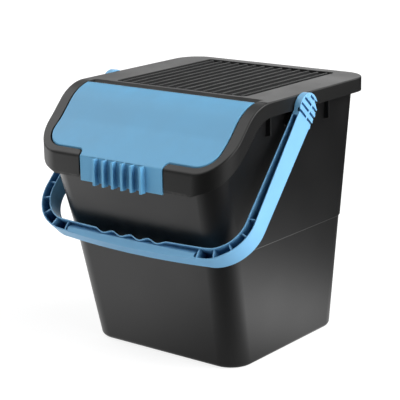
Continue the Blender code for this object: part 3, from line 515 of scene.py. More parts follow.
def extruded(name, outline, low, high, place=PLANE_XY):
    """A solid pushed from low to high along the normal of a plane, from a closed flat outline."""
    half = (high - low) / 2
    curve = set_up(bpy.data.curves.new(name, "CURVE"), dimensions="2D", fill_mode="BOTH", extrude=half)
    spline = curve.splines.new("POLY")
    spline.points.add(len(outline) - 1)
    for point, spot in zip(spline.points, outline):
        point.co.xy = spot
    spline.use_cyclic_u = True
    drawing = add_object(name + "_outline", curve)
    mesh = evaluated_mesh(drawing)
    bpy.data.objects.remove(drawing, do_unlink=True)
    shape = bmesh.new()
    shape.from_mesh(mesh)
    bmesh.ops.remove_doubles(shape, verts=shape.verts, dist=WELD)
    for height in (-half, half):
        cap = [face for face in shape.faces
               if all(abs(corner.co.z - height) < WELD for corner in face.verts)]
        bmesh.ops.dissolve_faces(shape, faces=cap)
    bmesh.ops.recalc_face_normals(shape, faces=shape.faces)
    bmesh.ops.transform(shape, matrix=place @ Matrix.Translation((0, 0, (low + high) / 2)), verts=shape.verts)
    shape.to_mesh(mesh)
    shape.free()
    return add_object(name, mesh)


def upright(name, outline):
    """A plan outline as a block through the whole height of the lid."""
    return extruded(name, outline, BELOW, ABOVE)


def crosswise(name, outline, half):
    """A side view pushed across the bin, to both sides of its middle."""
    return extruded(name, outline, -half, half, PLANE_YZ)


def cylinder(name, radius, low, high, centre, sides=ROUND_SIDES):
    """A round bar along X from low to high."""
    shape = bmesh.new()
    place = Matrix.Translation(((low + high) / 2, *centre)) @ Matrix.Rotation(pi / 2, 4, "Y")
    bmesh.ops.create_cone(shape, cap_ends=True, segments=sides, radius1=radius, radius2=radius,
                          depth=high - low, matrix=place)
    return add_shape(name, shape)


def mirrored(make, name):
    """Two copies of a solid made on the +X side, one of them mirrored to the -X side."""
    right = make(name + "_right")
    left = make(name + "_left")
    left.data.transform(Matrix.Scale(-1, 4, (1, 0, 0)))
    left.data.flip_normals()
    return right, left


def cylinders(name, radius, low, high, centre, sides=ROUND_SIDES):
    """A round bar along X on each side of the middle."""
    return mirrored(lambda label: cylinder(label, radius, low, high, centre, sides), name)


def loft(name, rings):
    """A closed solid through rings of equal point counts, from the bottom up."""
    shape = bmesh.new()
    levels = [[shape.verts.new(point) for point in ring] for ring in rings]
    for lower, upper in zip(levels, levels[1:]):
        for index in range(len(lower)):
            after = (index + 1) % len(lower)
            shape.faces.new((lower[index], lower[after], upper[after], upper[index]))
    shape.faces.new(tuple(reversed(levels[0])))
    shape.faces.new(tuple(levels[-1]))
    return add_shape(name, shape)


def combine(piece, operation, others):
    """Join, cut or intersect a piece with other solids, which are used up."""
    for other in others:
        set_up(piece.modifiers.new(operation.lower(), "BOOLEAN"), operation=operation, solver="EXACT",
               object=other)
        work_out(piece)
        bpy.data.objects.remove(other, do_unlink=True)
    return piece


def join(piece, *others):
    """Join solids to a piece."""
    return combine(piece, "UNION", others)


def cut(piece, *others):
    """Cut solids out of a piece."""
    return combine(piece, "DIFFERENCE", others)


def keep_inside(piece, *others):
    """Keep what lies inside every one of the solids."""
    return combine(piece, "INTERSECT", others)


def feed(tree, socket, value):
    """Link a socket to an input, or set its value."""
    if isinstance(value, bpy.types.NodeSocket):
        tree.links.new(value, socket)
    else:
        socket.default_value = value


def add_node(tree, kind, sockets, **settings):
    """A node with its settings and with its inputs fed by name or number; its outputs."""
    node = set_up(tree.nodes.new(kind), **settings)
    for label, value in sockets.items():
        feed(tree, node.inputs[label], value)
    return node.outputs


def maths(tree, operation, *values):
    """A maths node on sockets and numbers, and its result."""
    return add_node(tree, "ShaderNodeMath", dict(enumerate(values)), operation=operation)[0]


def vector(tree, *values):
    """Three values as one vector."""
    return add_node(tree, "ShaderNodeCombineXYZ", dict(enumerate(values)))[0]


def node_group(name, kind, inputs, outputs):
    """A node group, the outputs of its start and the inputs of its end; each socket has a kind or a value."""
    tree = bpy.data.node_groups.new(name, kind)
    for direction, sockets in (("INPUT", inputs), ("OUTPUT", outputs)):
        for label, value in sockets.items():
            given = SOCKET_KINDS.get(type(value), value)
            socket = tree.interface.new_socket(label, in_out=direction, socket_type=given)
            if given is not value:
                socket.default_value = value
    return tree, tree.nodes.new("NodeGroupInput").outputs, tree.nodes.new("NodeGroupOutput").inputs


def geometry_group(name, inputs):
    """A geometry node tree that takes a solid, some values and a plastic."""
    return node_group(name, "GeometryNodeTree", {"Geometry": "NodeSocketGeometry", **inputs,
                                                 "Material": "NodeSocketMaterial"},
                      {"Geometry": "NodeSocketGeometry"})


def finish_group(tree, geometry, inputs, outputs):
    """Make a tree's copies real and give them their plastic."""
    real = add_node(tree, "GeometryNodeRealizeInstances", {0: geometry})[0]
    feed(tree, outputs["Geometry"], add_node(tree, "GeometryNodeSetMaterial", {
        "Geometry": real, "Material": inputs["Material"]})[0])
    return tree


def with_nodes(thing, tree, values):
    """Work out a node tree on a piece and leave the plain mesh."""
    step = set_up(thing.modifiers.new(tree.name, "NODES"), node_group=tree)
    for item in tree.interface.items_tree:
        if item.item_type == "SOCKET" and item.in_out == "INPUT" and item.name in values:
            step[item.identifier] = values[item.name]
    thing.update_tag()
    return work_out(thing)


def taper_tree():
    """Leans a straight block's walls outwards with height and steps them out at the ledge."""
    tree, inputs, outputs = geometry_group("bucket_taper", {
        "Side Lean": 0.0, "Back Lean": 0.0, "Front Lean": 0.0, "Upper Front Lean": 0.0, "Ledge Height": 0.0,
        "Ledge Step": 0.0, "Ledge Slope": 0.0, "Middle": 0.0})
    position = tree.nodes.new("GeometryNodeInputPosition").outputs[0]
    x, y, z = add_node(tree, "ShaderNodeSeparateXYZ", {0: position})
    risen = maths(tree, "MAXIMUM", maths(tree, "SUBTRACT", z, inputs["Ledge Height"]), 0.0)
    below = maths(tree, "MINIMUM", z, inputs["Ledge Height"])
    climbed = maths(tree, "MINIMUM", maths(tree, "DIVIDE", risen, inputs["Ledge Slope"]), 1.0)
    step = maths(tree, "MULTIPLY", climbed, inputs["Ledge Step"])
    side = maths(tree, "MULTIPLY_ADD", z, inputs["Side Lean"], step)
    back = maths(tree, "MULTIPLY_ADD", z, inputs["Back Lean"], step)
    upper = maths(tree, "MULTIPLY_ADD", risen, inputs["Upper Front Lean"], step)
    front = maths(tree, "MULTIPLY_ADD", below, inputs["Front Lean"], upper)
    is_back = maths(tree, "GREATER_THAN", y, inputs["Middle"])
    is_front = maths(tree, "SUBTRACT", 1.0, is_back)
    move_y = maths(tree, "SUBTRACT", maths(tree, "MULTIPLY", is_back, back),
                   maths(tree, "MULTIPLY", is_front, front))
    move = vector(tree, maths(tree, "MULTIPLY", maths(tree, "SIGN", x), side), move_y)
    shift = add_node(tree, "GeometryNodeSetPosition", {"Geometry": inputs["Geometry"], "Offset": move})[0]
    return finish_group(tree, shift, inputs, outputs)


def row_tree():
    """Repeats one solid in a row across the bin, evenly to both sides of the middle."""
    tree, inputs, outputs = geometry_group("moulded_row", {"Count": 2, "Pitch": 0.0})
    span = maths(tree, "MULTIPLY", maths(tree, "SUBTRACT", inputs["Count"], 1.0), inputs["Pitch"])
    line = add_node(tree, "GeometryNodeMeshLine", {
        "Count": inputs["Count"], "Start Location": vector(tree, maths(tree, "MULTIPLY", span, -0.5)),
        "Offset": vector(tree, inputs["Pitch"])}, mode="OFFSET")[0]
    row = add_node(tree, "GeometryNodeInstanceOnPoints", {"Points": line, "Instance": inputs["Geometry"]})[0]
    return finish_group(tree, row, inputs, outputs)


def cross_rib_tree():
    """Stands a thin plate at every point of a path, turned across it and as wide as the channel there."""
    tree, inputs, outputs = geometry_group("channel_cross_ribs", {"Thickness": 0.0, "Depth": 0.0})
    plate = add_node(tree, "GeometryNodeMeshCube", {
        "Size": vector(tree, 1.0, inputs["Thickness"], inputs["Depth"])})["Mesh"]
    across, width = [
        add_node(tree, "GeometryNodeInputNamedAttribute", {"Name": label}, data_type=kind)["Attribute"]
        for label, kind in (("across", "FLOAT_VECTOR"), ("width", "FLOAT"))]
    turn = add_node(tree, "FunctionNodeAlignRotationToVector", {"Vector": across}, axis="X",
                    pivot_axis="Z")[0]
    ribs = add_node(tree, "GeometryNodeInstanceOnPoints", {
        "Points": inputs["Geometry"], "Instance": plate, "Rotation": turn,
        "Scale": vector(tree, width, 1.0, 1.0)})[0]
    return finish_group(tree, ribs, inputs, outputs)


def finished(thing, name, node, body, material, edge):
    """Weld a piece, round its edges, shade it, and fit it to the frame."""
    shape = bmesh.new()
    shape.from_mesh(thing.data)
    bmesh.ops.remove_doubles(shape, verts=shape.verts, dist=PIECE_WELD)
    bmesh.ops.dissolve_degenerate(shape, dist=SLIVER, edges=shape.edges)
    shape.to_mesh(thing.data)
    shape.free()
    thing.data.shade_smooth()
    thing.data.set_sharp_from_angle(angle=SHARP_ANGLE)
    set_up(thing.modifiers.new("edges", "BEVEL"), width=edge, segments=2, limit_method="ANGLE",
           angle_limit=SHARP_ANGLE, use_clamp_overlap=False, harden_normals=True, miter_outer="MITER_ARC")
    set_up(thing.modifiers.new("flats", "WEIGHTED_NORMAL"), keep_sharp=True, weight=80)
    work_out(thing)
    thing.name = thing.data.name = name
    thing.data.materials.clear()
    thing.data.materials.append(material)
    thing.data.polygons.foreach_set("material_index", [0] * len(thing.data.polygons))
    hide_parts(node)
    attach(thing, body)
    return thing


def plan_outline(inset):
    """The lid's outline in plan, inset by a distance."""
    return rounded_plan(LID_HALF_WIDTH, LID_FRONT, LID_BACK, LID_FRONT_RADIUS, LID_BACK_RADIUS, inset)


def plan_solid(name, inset):
    """The lid's outline in plan as an upright block."""
    return upright(name, plan_outline(inset))


def collar_outline(inset):
    """The lid's outline in plan with a point on each side wherever the side view bends."""
    outline, corner = plan_outline(inset), CORNER_STEPS + 1
    bends = [(LID_HALF_WIDTH - inset, y) for y, z in reversed(lid_profile(0))
             if LID_FRONT + LID_FRONT_RADIUS + WELD < y < LID_BACK - LID_BACK_RADIUS - WELD]
    return both_sides(outline[:corner] + bends + outline[corner:2 * corner])


def rim_collar(name, radius):
    """An upright block whose sides roll inwards under the lid's surface, for its rounded outer edge."""
    turns = [pi / 2 * step / SMALL_STEPS for step in range(SMALL_STEPS)]
    stages = [(radius * (1 - cos(angle)), radius * (1 - sin(angle))) for angle in turns]
    stages.append((radius * ROLL_END_INSET, -radius * ROLL_END_RISE))
    rings = [[(x, y, BELOW) for x, y in collar_outline(0)]]
    for inset, drop in stages:
        rings.append([(x, y, lid_height(y) - drop) for x, y in collar_outline(inset)])
    rings.append([(x, y, ABOVE) for x, y in collar_outline(stages[-1][0])])
    return loft(name, rings)


def under_lid(depth):
    """All space under the lid's surface, starting depth below it."""
    profile = lid_profile(depth)
    floor = [(profile[-1][0], -OVERRUN), (profile[0][0], -OVERRUN)]
    return crosswise("under_lid", profile + floor, LID_REACH)


def over(profile):
    """All space outside a side view that runs from the back to the front."""
    front = LID_FRONT - OVERRUN
    roof = [(front, profile[-1][1]), (front, ABOVE), (profile[0][0], ABOVE)]
    return crosswise("over", profile + roof, LID_REACH)


def over_lid(depth):
    """All space over the lid's surface, starting depth below it."""
    return over(lid_profile(depth))


def over_hem(raise_by):
    """All space over the skirt's lower edge, raised by a height."""
    return over(filleted([(y, z + raise_by) for y, z in HEM_PROFILE], HEM_RADII))


def opening_block(name, grow, rear=OPENING_REAR, beyond=0):
    """The flap opening with the notch for the grip, grown by a distance, as an upright block."""
    half = OPENING_HALF_WIDTH + grow
    notch = NOTCH_HALF_WIDTH + grow
    front = OPENING_FRONT - grow
    corner = (OPENING_CORNER_WIDTH + grow, OPENING_CORNER_LENGTH + grow)
    small = NOTCH_RADIUS - grow
    right = [(notch, LID_FRONT - OVERRUN / 2 - beyond)]
    right += arc((notch + small, front - small), small, pi, pi / 2, SMALL_STEPS)
    right += arc((half - corner[0], front + corner[1]), corner, -pi / 2, 0, CORNER_STEPS)
    right.append((half, rear + beyond))
    return extruded(name, both_sides(right), BELOW - beyond, ABOVE + beyond)


def straight_ring(height, inset):
    """The base outline of the bucket at a height, inset by a distance."""
    return [(x, y, height) for x, y in rounded_plan(BASE_HALF_WIDTH, BASE_FRONT, BASE_BACK, CORNER_RADIUS,
                                                    CORNER_RADIUS, inset)]


def bucket_block(name, inset, floor, sizes, tree):
    """The bucket's tapered body as a closed solid, round along its bottom edge."""
    edge = BASE_ROUND - inset
    rings = []
    for step in range(SMALL_STEPS + 1):
        angle = pi / 2 * step / SMALL_STEPS
        rings.append(straight_ring(floor + edge * (1 - cos(angle)), inset + edge * (1 - sin(angle))))
    for height in (sizes.ledge_height, sizes.ledge_height + LEDGE_SLOPE, ABOVE):
        rings.append(straight_ring(height, inset))
    return with_nodes(loft(name, rings), tree, {
        "Side Lean": sizes.side_lean, "Back Lean": sizes.back_lean, "Front Lean": sizes.front_lean,
        "Upper Front Lean": sizes.upper_front_lean, "Ledge Height": sizes.ledge_height,
        "Ledge Step": sizes.ledge_step, "Ledge Slope": LEDGE_SLOPE, "Middle": (BASE_FRONT + BASE_BACK) / 2})


def wall_half_width(height, sizes):
    """Half the bucket's outer width at a height above its ledge."""
    return BASE_HALF_WIDTH + sizes.side_lean * height + sizes.ledge_step


def gusset(name, place, sizes):
    """A fin between the bucket's wall and its rim, on the +X side."""
    top = LID_TOP - RIM_DEPTH - RIM_WALL / 2
    inner, inner_top = [wall_half_width(height, sizes) - sizes.wall / 2
                        for height in (GUSSET_FOOT_HEIGHT, top)]
    edge = RIM_HALF_WIDTH - GUSSET_SETBACK
    outline = [(inner, GUSSET_FOOT_HEIGHT), (edge, GUSSET_FOOT_HEIGHT + GUSSET_FOOT_RISE), (edge, top),
               (inner_top, top)]
    low = -place - GUSSET_THICKNESS / 2
    return extruded(name, outline, low, low + GUSSET_THICKNESS, PLANE_XZ)


def build_bucket(sizes, material):
    """The bucket: its body, rim and gussets, hollowed, with its foot and pivot bosses."""
    tree = taper_tree()
    body = keep_inside(bucket_block("bucket", 0, 0, sizes, tree), under_lid(RIM_DEPTH))
    rim = keep_inside(plan_solid("rim", RIM_INSET), under_lid(RIM_DEPTH))
    cut(rim, keep_inside(plan_solid("rim_inside", RIM_INSET + RIM_WALL), under_lid(RIM_DEPTH + RIM_WALL)))
    join(body, keep_inside(rim, over_hem(RIM_LIP_SHORTER)))
    for place in GUSSET_PLACES:
        join(body, *mirrored(lambda name, y=place: gusset(name, y, sizes), "gusset"))
    cut(body, bucket_block("cavity", sizes.wall, FOOT_DEPTH + sizes.wall, sizes, tree))
    foot = [(x, y) for x, y, z in straight_ring(0, FOOT_WIDTH)]
    cut(body, extruded("foot_recess", foot, -OVERRUN, FOOT_DEPTH))
    inner = wall_half_width(PIVOT.z, sizes) - sizes.wall - BOSS_INSIDE
    join(body, *cylinders("pivot_boss", BOSS_RADIUS, inner, BOSS_HALF_WIDTH, PIVOT.yz))
    cut(body, *cylinders("pivot_hole", STUD_RADIUS + STUD_CLEARANCE, inner - OVERRUN / 2,
                         BOSS_HALF_WIDTH + OVERRUN / 4, PIVOT.yz))
    return finished(body, "bucket_shell", "bucket", "bin", material, sizes.edge)


def stacking_rib(sizes):
    """One rib with its top edges taken off, rooted in the recess floor."""
    half = sizes.rib_width / 2
    flat = half - sizes.rib_width * RIB_CHAMFER
    root = RECESS_FLOOR - LID_WALL / 2
    top = RECESS_FLOOR + sizes.rib_height
    shoulder = top - sizes.rib_width * RIB_CHAMFER
    outline = [(-half, root), (half, root), (half, shoulder), (flat, top), (-flat, top), (-half, shoulder)]
    return extruded("stacking_ribs", outline, RIB_END_MARGIN - RECESS_BACK, -RECESS_FRONT - RIB_END_MARGIN,
                    PLANE_XZ)


def recess_outline(grow):
    """The stacking recess in plan, grown by a distance."""
    return rounded_plan(RECESS_HALF_WIDTH, RECESS_FRONT, RECESS_BACK, RECESS_RADIUS, RECESS_RADIUS, -grow,
                        SMALL_STEPS)


def build_lid(sizes, material, row):
    """The lid: shell, bead, flap seat, recess, ridge, hinge ears, openings and ribs."""
    lid = keep_inside(rim_collar("lid_frame", sizes.rim_round), under_lid(0))
    cut(lid, keep_inside(plan_solid("lid_inside", LID_WALL), under_lid(LID_WALL)))

    bead = cut(plan_solid("bead", BEAD_INSET), plan_solid("bead_inside", BEAD_INSET + BEAD_WIDTH))
    join(lid, keep_inside(bead, under_lid(LID_WALL / 2), over_lid(LID_SEAT)))
    join(lid, keep_inside(opening_block("seat", SEAT_RISER), under_lid(LID_WALL / 2), over_lid(LID_SEAT),
                          plan_solid("seat_plan", LID_WALL / 2)))

    within = LID_TOP - LID_WALL / 2
    tray_low = RECESS_FLOOR - LID_WALL
    join(lid, extruded("tray", recess_outline(LID_WALL), tray_low, within))
    ridge_top = RECESS_FRONT - RIDGE_WIDTH
    bar, bar_low = OPENING_REAR + LID_WALL, LID_TOP - RIDGE_BAR_DEPTH
    beam = [(ridge_top, within), (OPENING_REAR, within), (OPENING_REAR, bar_low), (bar, bar_low),
            (bar, within - RIDGE_LEDGE_DROP), (ridge_top, tray_low)]
    join(lid, crosswise("ridge_beam", beam, OPENING_HALF_WIDTH + SEAT_RISER))

    front, back = HINGE.y - EAR_LENGTH / 2, HINGE.y + EAR_LENGTH / 2
    ear_low = HINGE.z - HINGE_PIN_RADIUS - EAR_DROP
    ear = [(front, ear_low), (back, ear_low), (back, within), (front, within)]
    start = OPENING_HALF_WIDTH + FLAP_GAP / 4
    ears = mirrored(lambda name: extruded(name, ear, start, start + EAR_WIDTH, PLANE_YZ), "ear")
    join(lid, *[keep_inside(one, under_lid(LID_WALL / 2)) for one in ears])
    keep_inside(lid, over_hem(0))

    cut(lid, keep_inside(opening_block("pocket", 0), over_lid(FLAP_SEAT)))
    groove = cut(opening_block("gap_groove", 0),
                 opening_block("gap_groove_inside", -GAP_GROOVE_WIDTH, beyond=OVERRUN / 2))
    cut(lid, keep_inside(groove, over_lid(FLAP_SEAT + GAP_GROOVE_DEPTH)))
    half = OPENING_HALF_WIDTH - SEAT_WIDTH
    corner = (OPENING_CORNER_WIDTH - SEAT_WIDTH, OPENING_CORNER_LENGTH - SEAT_WIDTH)
    right = arc((half - corner[0], OPENING_FRONT + SEAT_WIDTH + corner[1]), corner, -pi / 2, 0, CORNER_STEPS)
    cut(lid, upright("well", both_sides(right + [(half, OPENING_REAR)])))
    cut(lid, cylinder("curl_room", CURL_RADIUS + CURL_CLEARANCE, -OPENING_HALF_WIDTH, OPENING_HALF_WIDTH,
                      HINGE.yz))
    pin_end = FLAP_HALF_WIDTH + HINGE_PIN_LENGTH + FLAP_GAP / 4
    cut(lid, *cylinders("pin_hole", HINGE_PIN_RADIUS + SEAT_GAP, OPENING_HALF_WIDTH - OVERRUN / 4, pin_end,
                        HINGE.yz, PIN_SIDES))

    ledge, ledge_low = OPENING_REAR + RIDGE_STEP, LID_TOP - RIDGE_LEDGE_DROP
    front = OPENING_REAR - OVERRUN / 4
    wedge = [(ridge_top, LID_TOP), (ridge_top, ABOVE), (front, ABOVE), (front, ledge_low), (ledge, ledge_low),
             (ledge, LID_TOP - RIDGE_DROP)]
    cut(lid, crosswise("ridge_slope", wedge, OPENING_HALF_WIDTH))
    cut(lid, extruded("recess", recess_outline(0), RECESS_FLOOR, ABOVE))
    pitch = 2 * (RECESS_HALF_WIDTH - RIB_SIDE_MARGIN) / (sizes.rib_count - 1)
    join(lid, with_nodes(stacking_rib(sizes), row, {"Count": sizes.rib_count, "Pitch": pitch,
                                                    "Material": material}))
    return finished(lid, "lid_shell", "lid_frame", "bin", material, sizes.edge)


def grip_fin(sizes):
    """One fin of the flap's grip, in the middle of the bin."""
    bottom = HEM_BOTTOM - FIN_DROP
    root = LID_FRONT + FLAP_WALL / 2
    nose = LID_FRONT - GRIP_FIN_REACH
    top = LID_TOP - FIN_TOP_DROP
    outline = [(nose, bottom), (root, bottom), (root, top)]
    outline += arc((nose + FIN_NOSE, top - FIN_NOSE), FIN_NOSE, pi / 2, pi, SMALL_STEPS)
    return crosswise("grip_fins", outline, sizes.fin_width / 2)


def build_flap(sizes, material, row):
    """The flap: its plate, the curl along the hinge, discs, pins and the finned grip."""
    tilt = asin((lid_profile(0)[1][0] - LID_FRONT - HINGE_BACK) / SHOULDER_RADIUS)
    flap = opening_block("flap", -FLAP_GAP, HINGE.y - CURL_RADIUS * sin(tilt))
    front = LID_FRONT - OVERRUN
    bottom = [(front, HEM_BOTTOM), (LID_BACK, HEM_BOTTOM), (LID_BACK, ABOVE), (front, ABOVE)]
    keep_inside(flap, under_lid(0), over_lid(FLAP_WALL), crosswise("flap_bottom", bottom, LID_HALF_WIDTH))
    crest = pi / 2 + tilt + CURL_OVERLAP
    curl = arc(HINGE.yz, CURL_RADIUS, crest, CURL_END_ANGLE, 2 * SMALL_STEPS)
    curl += arc(HINGE.yz, CURL_RADIUS - CURL_WALL, CURL_END_ANGLE, crest, 2 * SMALL_STEPS)
    half = FLAP_HALF_WIDTH
    join(flap, crosswise("curl", curl, half))
    join(flap, *cylinders("hinge_disc", CURL_RADIUS - CURL_WALL / 2, half - HINGE_DISC, half, HINGE.yz))
    join(flap, *cylinders("hinge_pin", HINGE_PIN_RADIUS, half - HINGE_DISC / 2, half + HINGE_PIN_LENGTH,
                          HINGE.yz, PIN_SIDES))
    join(flap, with_nodes(grip_fin(sizes), row, {"Count": sizes.fin_count, "Pitch": sizes.fin_pitch,
                                                 "Material": material}))
    return finished(flap, "flap_shell", "flap", "door", material, sizes.edge)


def handle_frame():
    """Where the handle hangs: across, along its arms away from the pivot, and towards its back."""
    along = (-cos(REST_ANGLE), -sin(REST_ANGLE))
    back = (sin(REST_ANGLE), -cos(REST_ANGLE))
    return Matrix(((1, 0, 0, 0), (0, along[0], back[0], PIVOT.y), (0, along[1], back[1], PIVOT.z),
                   (0, 0, 0, 1)))


def arm_station(reach):
    """Outer and inner edge of the right arm at a distance from the pivot, and its normal."""
    part = reach / BEND_REACH
    outer = ARM_TOP_OUTER + (BEND_HALF_WIDTH + BEND_OUTER_RADIUS - ARM_TOP_OUTER) * part
    inner = ARM_TOP_INNER + (BEND_HALF_WIDTH + BEND_INNER_RADIUS - ARM_TOP_INNER) * part
    return (outer, reach), (inner, reach), (1, 0)


def bend_station(angle):
    """Outer and inner edge in the right bend, and the normal."""
    normal = (cos(angle), sin(angle))
    outer, inner = [(BEND_HALF_WIDTH + radius * normal[0], BEND_REACH + radius * normal[1])
                    for radius in (BEND_OUTER_RADIUS, BEND_INNER_RADIUS)]
    return outer, inner, normal


def bar_station(place, sizes):
    """Outer and inner edge of the front bar and its normal, with the finger hollows in the inner edge."""
    bow = 1 - (place / BEND_HALF_WIDTH) ** 2
    hollow = 0
    if abs(place) < FINGER_COUNT * sizes.finger_pitch / 2:
        hollow = sizes.finger_depth * abs(sin(pi * place / sizes.finger_pitch)) ** FINGER_CREST_POWER
    outer = BAR_OUTER + BAR_OUTER_BOW * bow
    inner = BAR_INNER + BAR_INNER_BOW * bow + hollow
    return (place, outer), (place, inner), (0, 1)


def flipped(stations):
    """The same stations on the left side, in the order that continues from the right."""
    return [((-outer[0], outer[1]), (-inner[0], inner[1]), (-normal[0], normal[1]))
            for outer, inner, normal in reversed(stations)]


def handle_path(start, sizes):
    """Stations from the right arm round the bar to the left arm."""
    right = [arm_station(start)]
    right += [bend_station(pi / 2 * step / CORNER_STEPS) for step in range(CORNER_STEPS + 1)]
    count = FINGER_COUNT * FINGER_STEPS
    waves = [sizes.finger_pitch / FINGER_STEPS * (count / 2 - step) for step in range(count + 1)]
    slack = BEND_HALF_WIDTH - FINGER_COUNT * sizes.finger_pitch / 2
    lead = [BEND_HALF_WIDTH - slack * step / SMALL_STEPS for step in range(1, SMALL_STEPS)]
    places = lead + waves + [-place for place in reversed(lead)]
    return right + [bar_station(place, sizes) for place in places] + flipped(right)


def band(stations, wall):
    """A closed outline along stations, inset by a wall from both edges."""
    outer = [(point[0] - normal[0] * wall, point[1] - normal[1] * wall) for point, other, normal in stations]
    inner = [(point[0] + normal[0] * wall, point[1] + normal[1] * wall) for other, point, normal in stations]
    return outer + list(reversed(inner))


def behind_front(inset, sizes):
    """The handle's thickness in side view: from its open face to its tapering back face."""
    reach = BAR_OUTER + OVERRUN
    front, back, top = -CHANNEL_FRONT - OVERRUN, CHANNEL_BACK - inset, ARM_BACK_TOP - inset
    outline = [(-OVERRUN, front), (reach, front), (reach, back), (BEND_REACH + sizes.wall, back), (0, top),
               (-OVERRUN, top)]
    return crosswise("behind_front", outline, HANDLE_REACH)


def head_back(reach, inset):
    """How far back a head's edge lies at a distance from the pivot, inset towards its middle."""
    above = min(reach + HEAD_CENTRE_RISE, 0)
    return HEAD_CENTRE_BACK + ((HEAD_RADIUS - inset) ** 2 - above ** 2) ** 0.5


def tooth_tips():
    """Distances of the teeth's tips from the pivot, from the top one down."""
    return [-TOOTH_LAST_RISE - TOOTH_PITCH * index for index in range(TOOTH_COUNT - 1, -1, -1)]


def head_outline(sizes):
    """Side view of a head: round top, flush front, toothed back."""
    tips = tooth_tips()
    top_angle = acos((tips[0] + HEAD_CENTRE_RISE) / HEAD_RADIUS)
    outline = [(-CHANNEL_TOP_RISE, -CHANNEL_FRONT), (-HEAD_FRONT_RISE, -CHANNEL_FRONT)]
    outline += arc((-HEAD_CENTRE_RISE, HEAD_CENTRE_BACK), HEAD_RADIUS, HEAD_FRONT_ANGLE, top_angle - 2 * pi,
                   2 * CORNER_STEPS)
    for tip, after in zip(tips, tips[1:] + [None]):
        root = tip + TOOTH_UNDERCUT
        outline.append((root, head_back(root, TOOTH_DEPTH)))
        if after is not None:
            outline.append((after, head_back(after, 0)))
    outline.append((-CHANNEL_TOP_RISE, ARM_BACK_TOP - sizes.wall / 2))
    return outline


def head_grooves():
    """Two rows of short level grooves in a head's outer face, one under each tooth."""
    grooves = []
    floor = HEAD_OUTER - GROOVE_DEPTH
    for tip in tooth_tips()[:-1]:
        low = tip + TOOTH_UNDERCUT / 2
        high = low + GROOVE_WIDTH
        edge = 2 * HEAD_CENTRE_BACK - head_back(low, GROOVE_EDGE_MARGIN)
        for front, back in ((edge, GROOVE_SPLIT_START), (GROOVE_SPLIT_END, head_back(low, 0) + OVERRUN)):
            outline = [(low, front), (high, front), (high, back), (low, back)]
            grooves.append(extruded("groove", outline, floor, HEAD_OUTER + OVERRUN, PLANE_YZ))
    return grooves


def cross_rib_points(sizes):
    """A point for each cross rib, with the direction across the channel and the width there."""
    stations = [arm_station(BEND_REACH - CROSS_RIB_SETBACK)]
    stations += [bend_station(angle) for angle in CROSS_RIB_ANGLES]
    stations.append(bar_station(BEND_HALF_WIDTH - CROSS_RIB_SETBACK, sizes))
    stations += flipped(stations)
    low = -CHANNEL_FRONT + CROSS_RIB_RECESS
    high = CHANNEL_BACK - sizes.wall / 2
    mesh = bpy.data.meshes.new("cross_ribs")
    mesh.from_pydata([((outer[0] + inner[0]) / 2, (outer[1] + inner[1]) / 2, (low + high) / 2)
                      for outer, inner, normal in stations], [], [])
    turned = mesh.attributes.new("across", "FLOAT_VECTOR", "POINT")
    turned.data.foreach_set("vector", [value for outer, inner, normal in stations for value in (*normal, 0)])
    width = mesh.attributes.new("width", "FLOAT", "POINT")
    width.data.foreach_set("value", [hypot(outer[0] - inner[0], outer[1] - inner[1]) - sizes.wall
                                     for outer, inner, normal in stations])
    return add_object("cross_ribs", mesh), high - low


def build_handle(sizes, material):
    """The handle, made flat round its pivot and then hung at its resting angle."""
    front, deep = -CHANNEL_FRONT, ARM_BACK_TOP + OVERRUN / 2
    path = handle_path(-CHANNEL_TOP_RISE - 2 * HEAD_OVERLAP, sizes)
    handle = keep_inside(extruded("carry_handle", band(path, 0), front, deep), behind_front(0, sizes))
    trough = handle_path(-CHANNEL_TOP_RISE - HEAD_OVERLAP, sizes)
    hollow = extruded("hollow", band(trough, sizes.wall * LIP_WALL_SHARE), front - OVERRUN / 4, deep)
    cut(handle, keep_inside(hollow, behind_front(sizes.wall, sizes)))

    lip = BAR_OUTER - sizes.wall
    slope = [(lip, front + TROUGH_LIP_DROP), (BAR_INNER, front + TROUGH_WAVE_DROP), (BAR_INNER, deep),
             (lip + OVERRUN, deep), (lip + OVERRUN, front + TROUGH_LIP_DROP)]
    floor = crosswise("trough_floor", slope, BEND_HALF_WIDTH - CROSS_RIB_SETBACK - TROUGH_POCKET)
    join(handle, keep_inside(floor, extruded("trough_plan", band(path, sizes.wall / 2), front, deep),
                             behind_front(sizes.wall / 2, sizes)))
    points, depth = cross_rib_points(sizes)
    join(handle, with_nodes(points, cross_rib_tree(), {"Thickness": sizes.rib, "Depth": depth,
                                                       "Material": material}))
    start = BAR_INNER + LIP_SLOPE_START
    outer = BAR_OUTER + BAR_OUTER_BOW
    slope = [(start, front), (outer, front + LIP_SLOPE_DROP), (outer + OVERRUN, front + LIP_SLOPE_DROP),
             (outer + OVERRUN, front - OVERRUN), (start, front - OVERRUN)]
    cut(handle, crosswise("lip_slope", slope, HANDLE_REACH))

    def head(name):
        outer_face = arm_station(-CHANNEL_TOP_RISE)[0][0]
        return cut(extruded(name, head_outline(sizes), HEAD_INNER, outer_face, PLANE_YZ), *head_grooves())

    join(handle, *mirrored(head, "head"))
    bucket = bpy.context.scene.bin_bucket
    inner = wall_half_width(PIVOT.z, bucket) - bucket.wall - BOSS_INSIDE - STUD_CLEARANCE
    join(handle, *cylinders("stud", STUD_RADIUS, inner - STUD_HEAD_LENGTH / 2, ARM_TOP_INNER + sizes.wall,
                            (0, 0)))
    join(handle, *cylinders("stud_head", STUD_HEAD_RADIUS, inner - STUD_HEAD_LENGTH, inner, (0, 0)))
    handle.data.transform(handle_frame())
    return finished(handle, "handle_shell", "carry_handle", "bail", material, sizes.edge)


def shader_group(name, inputs, *results):
    """A shader node group with named inputs and plain numbers as its results."""
    return node_group(name, "ShaderNodeTree", inputs, {label: "NodeSocketFloat" for label in results})


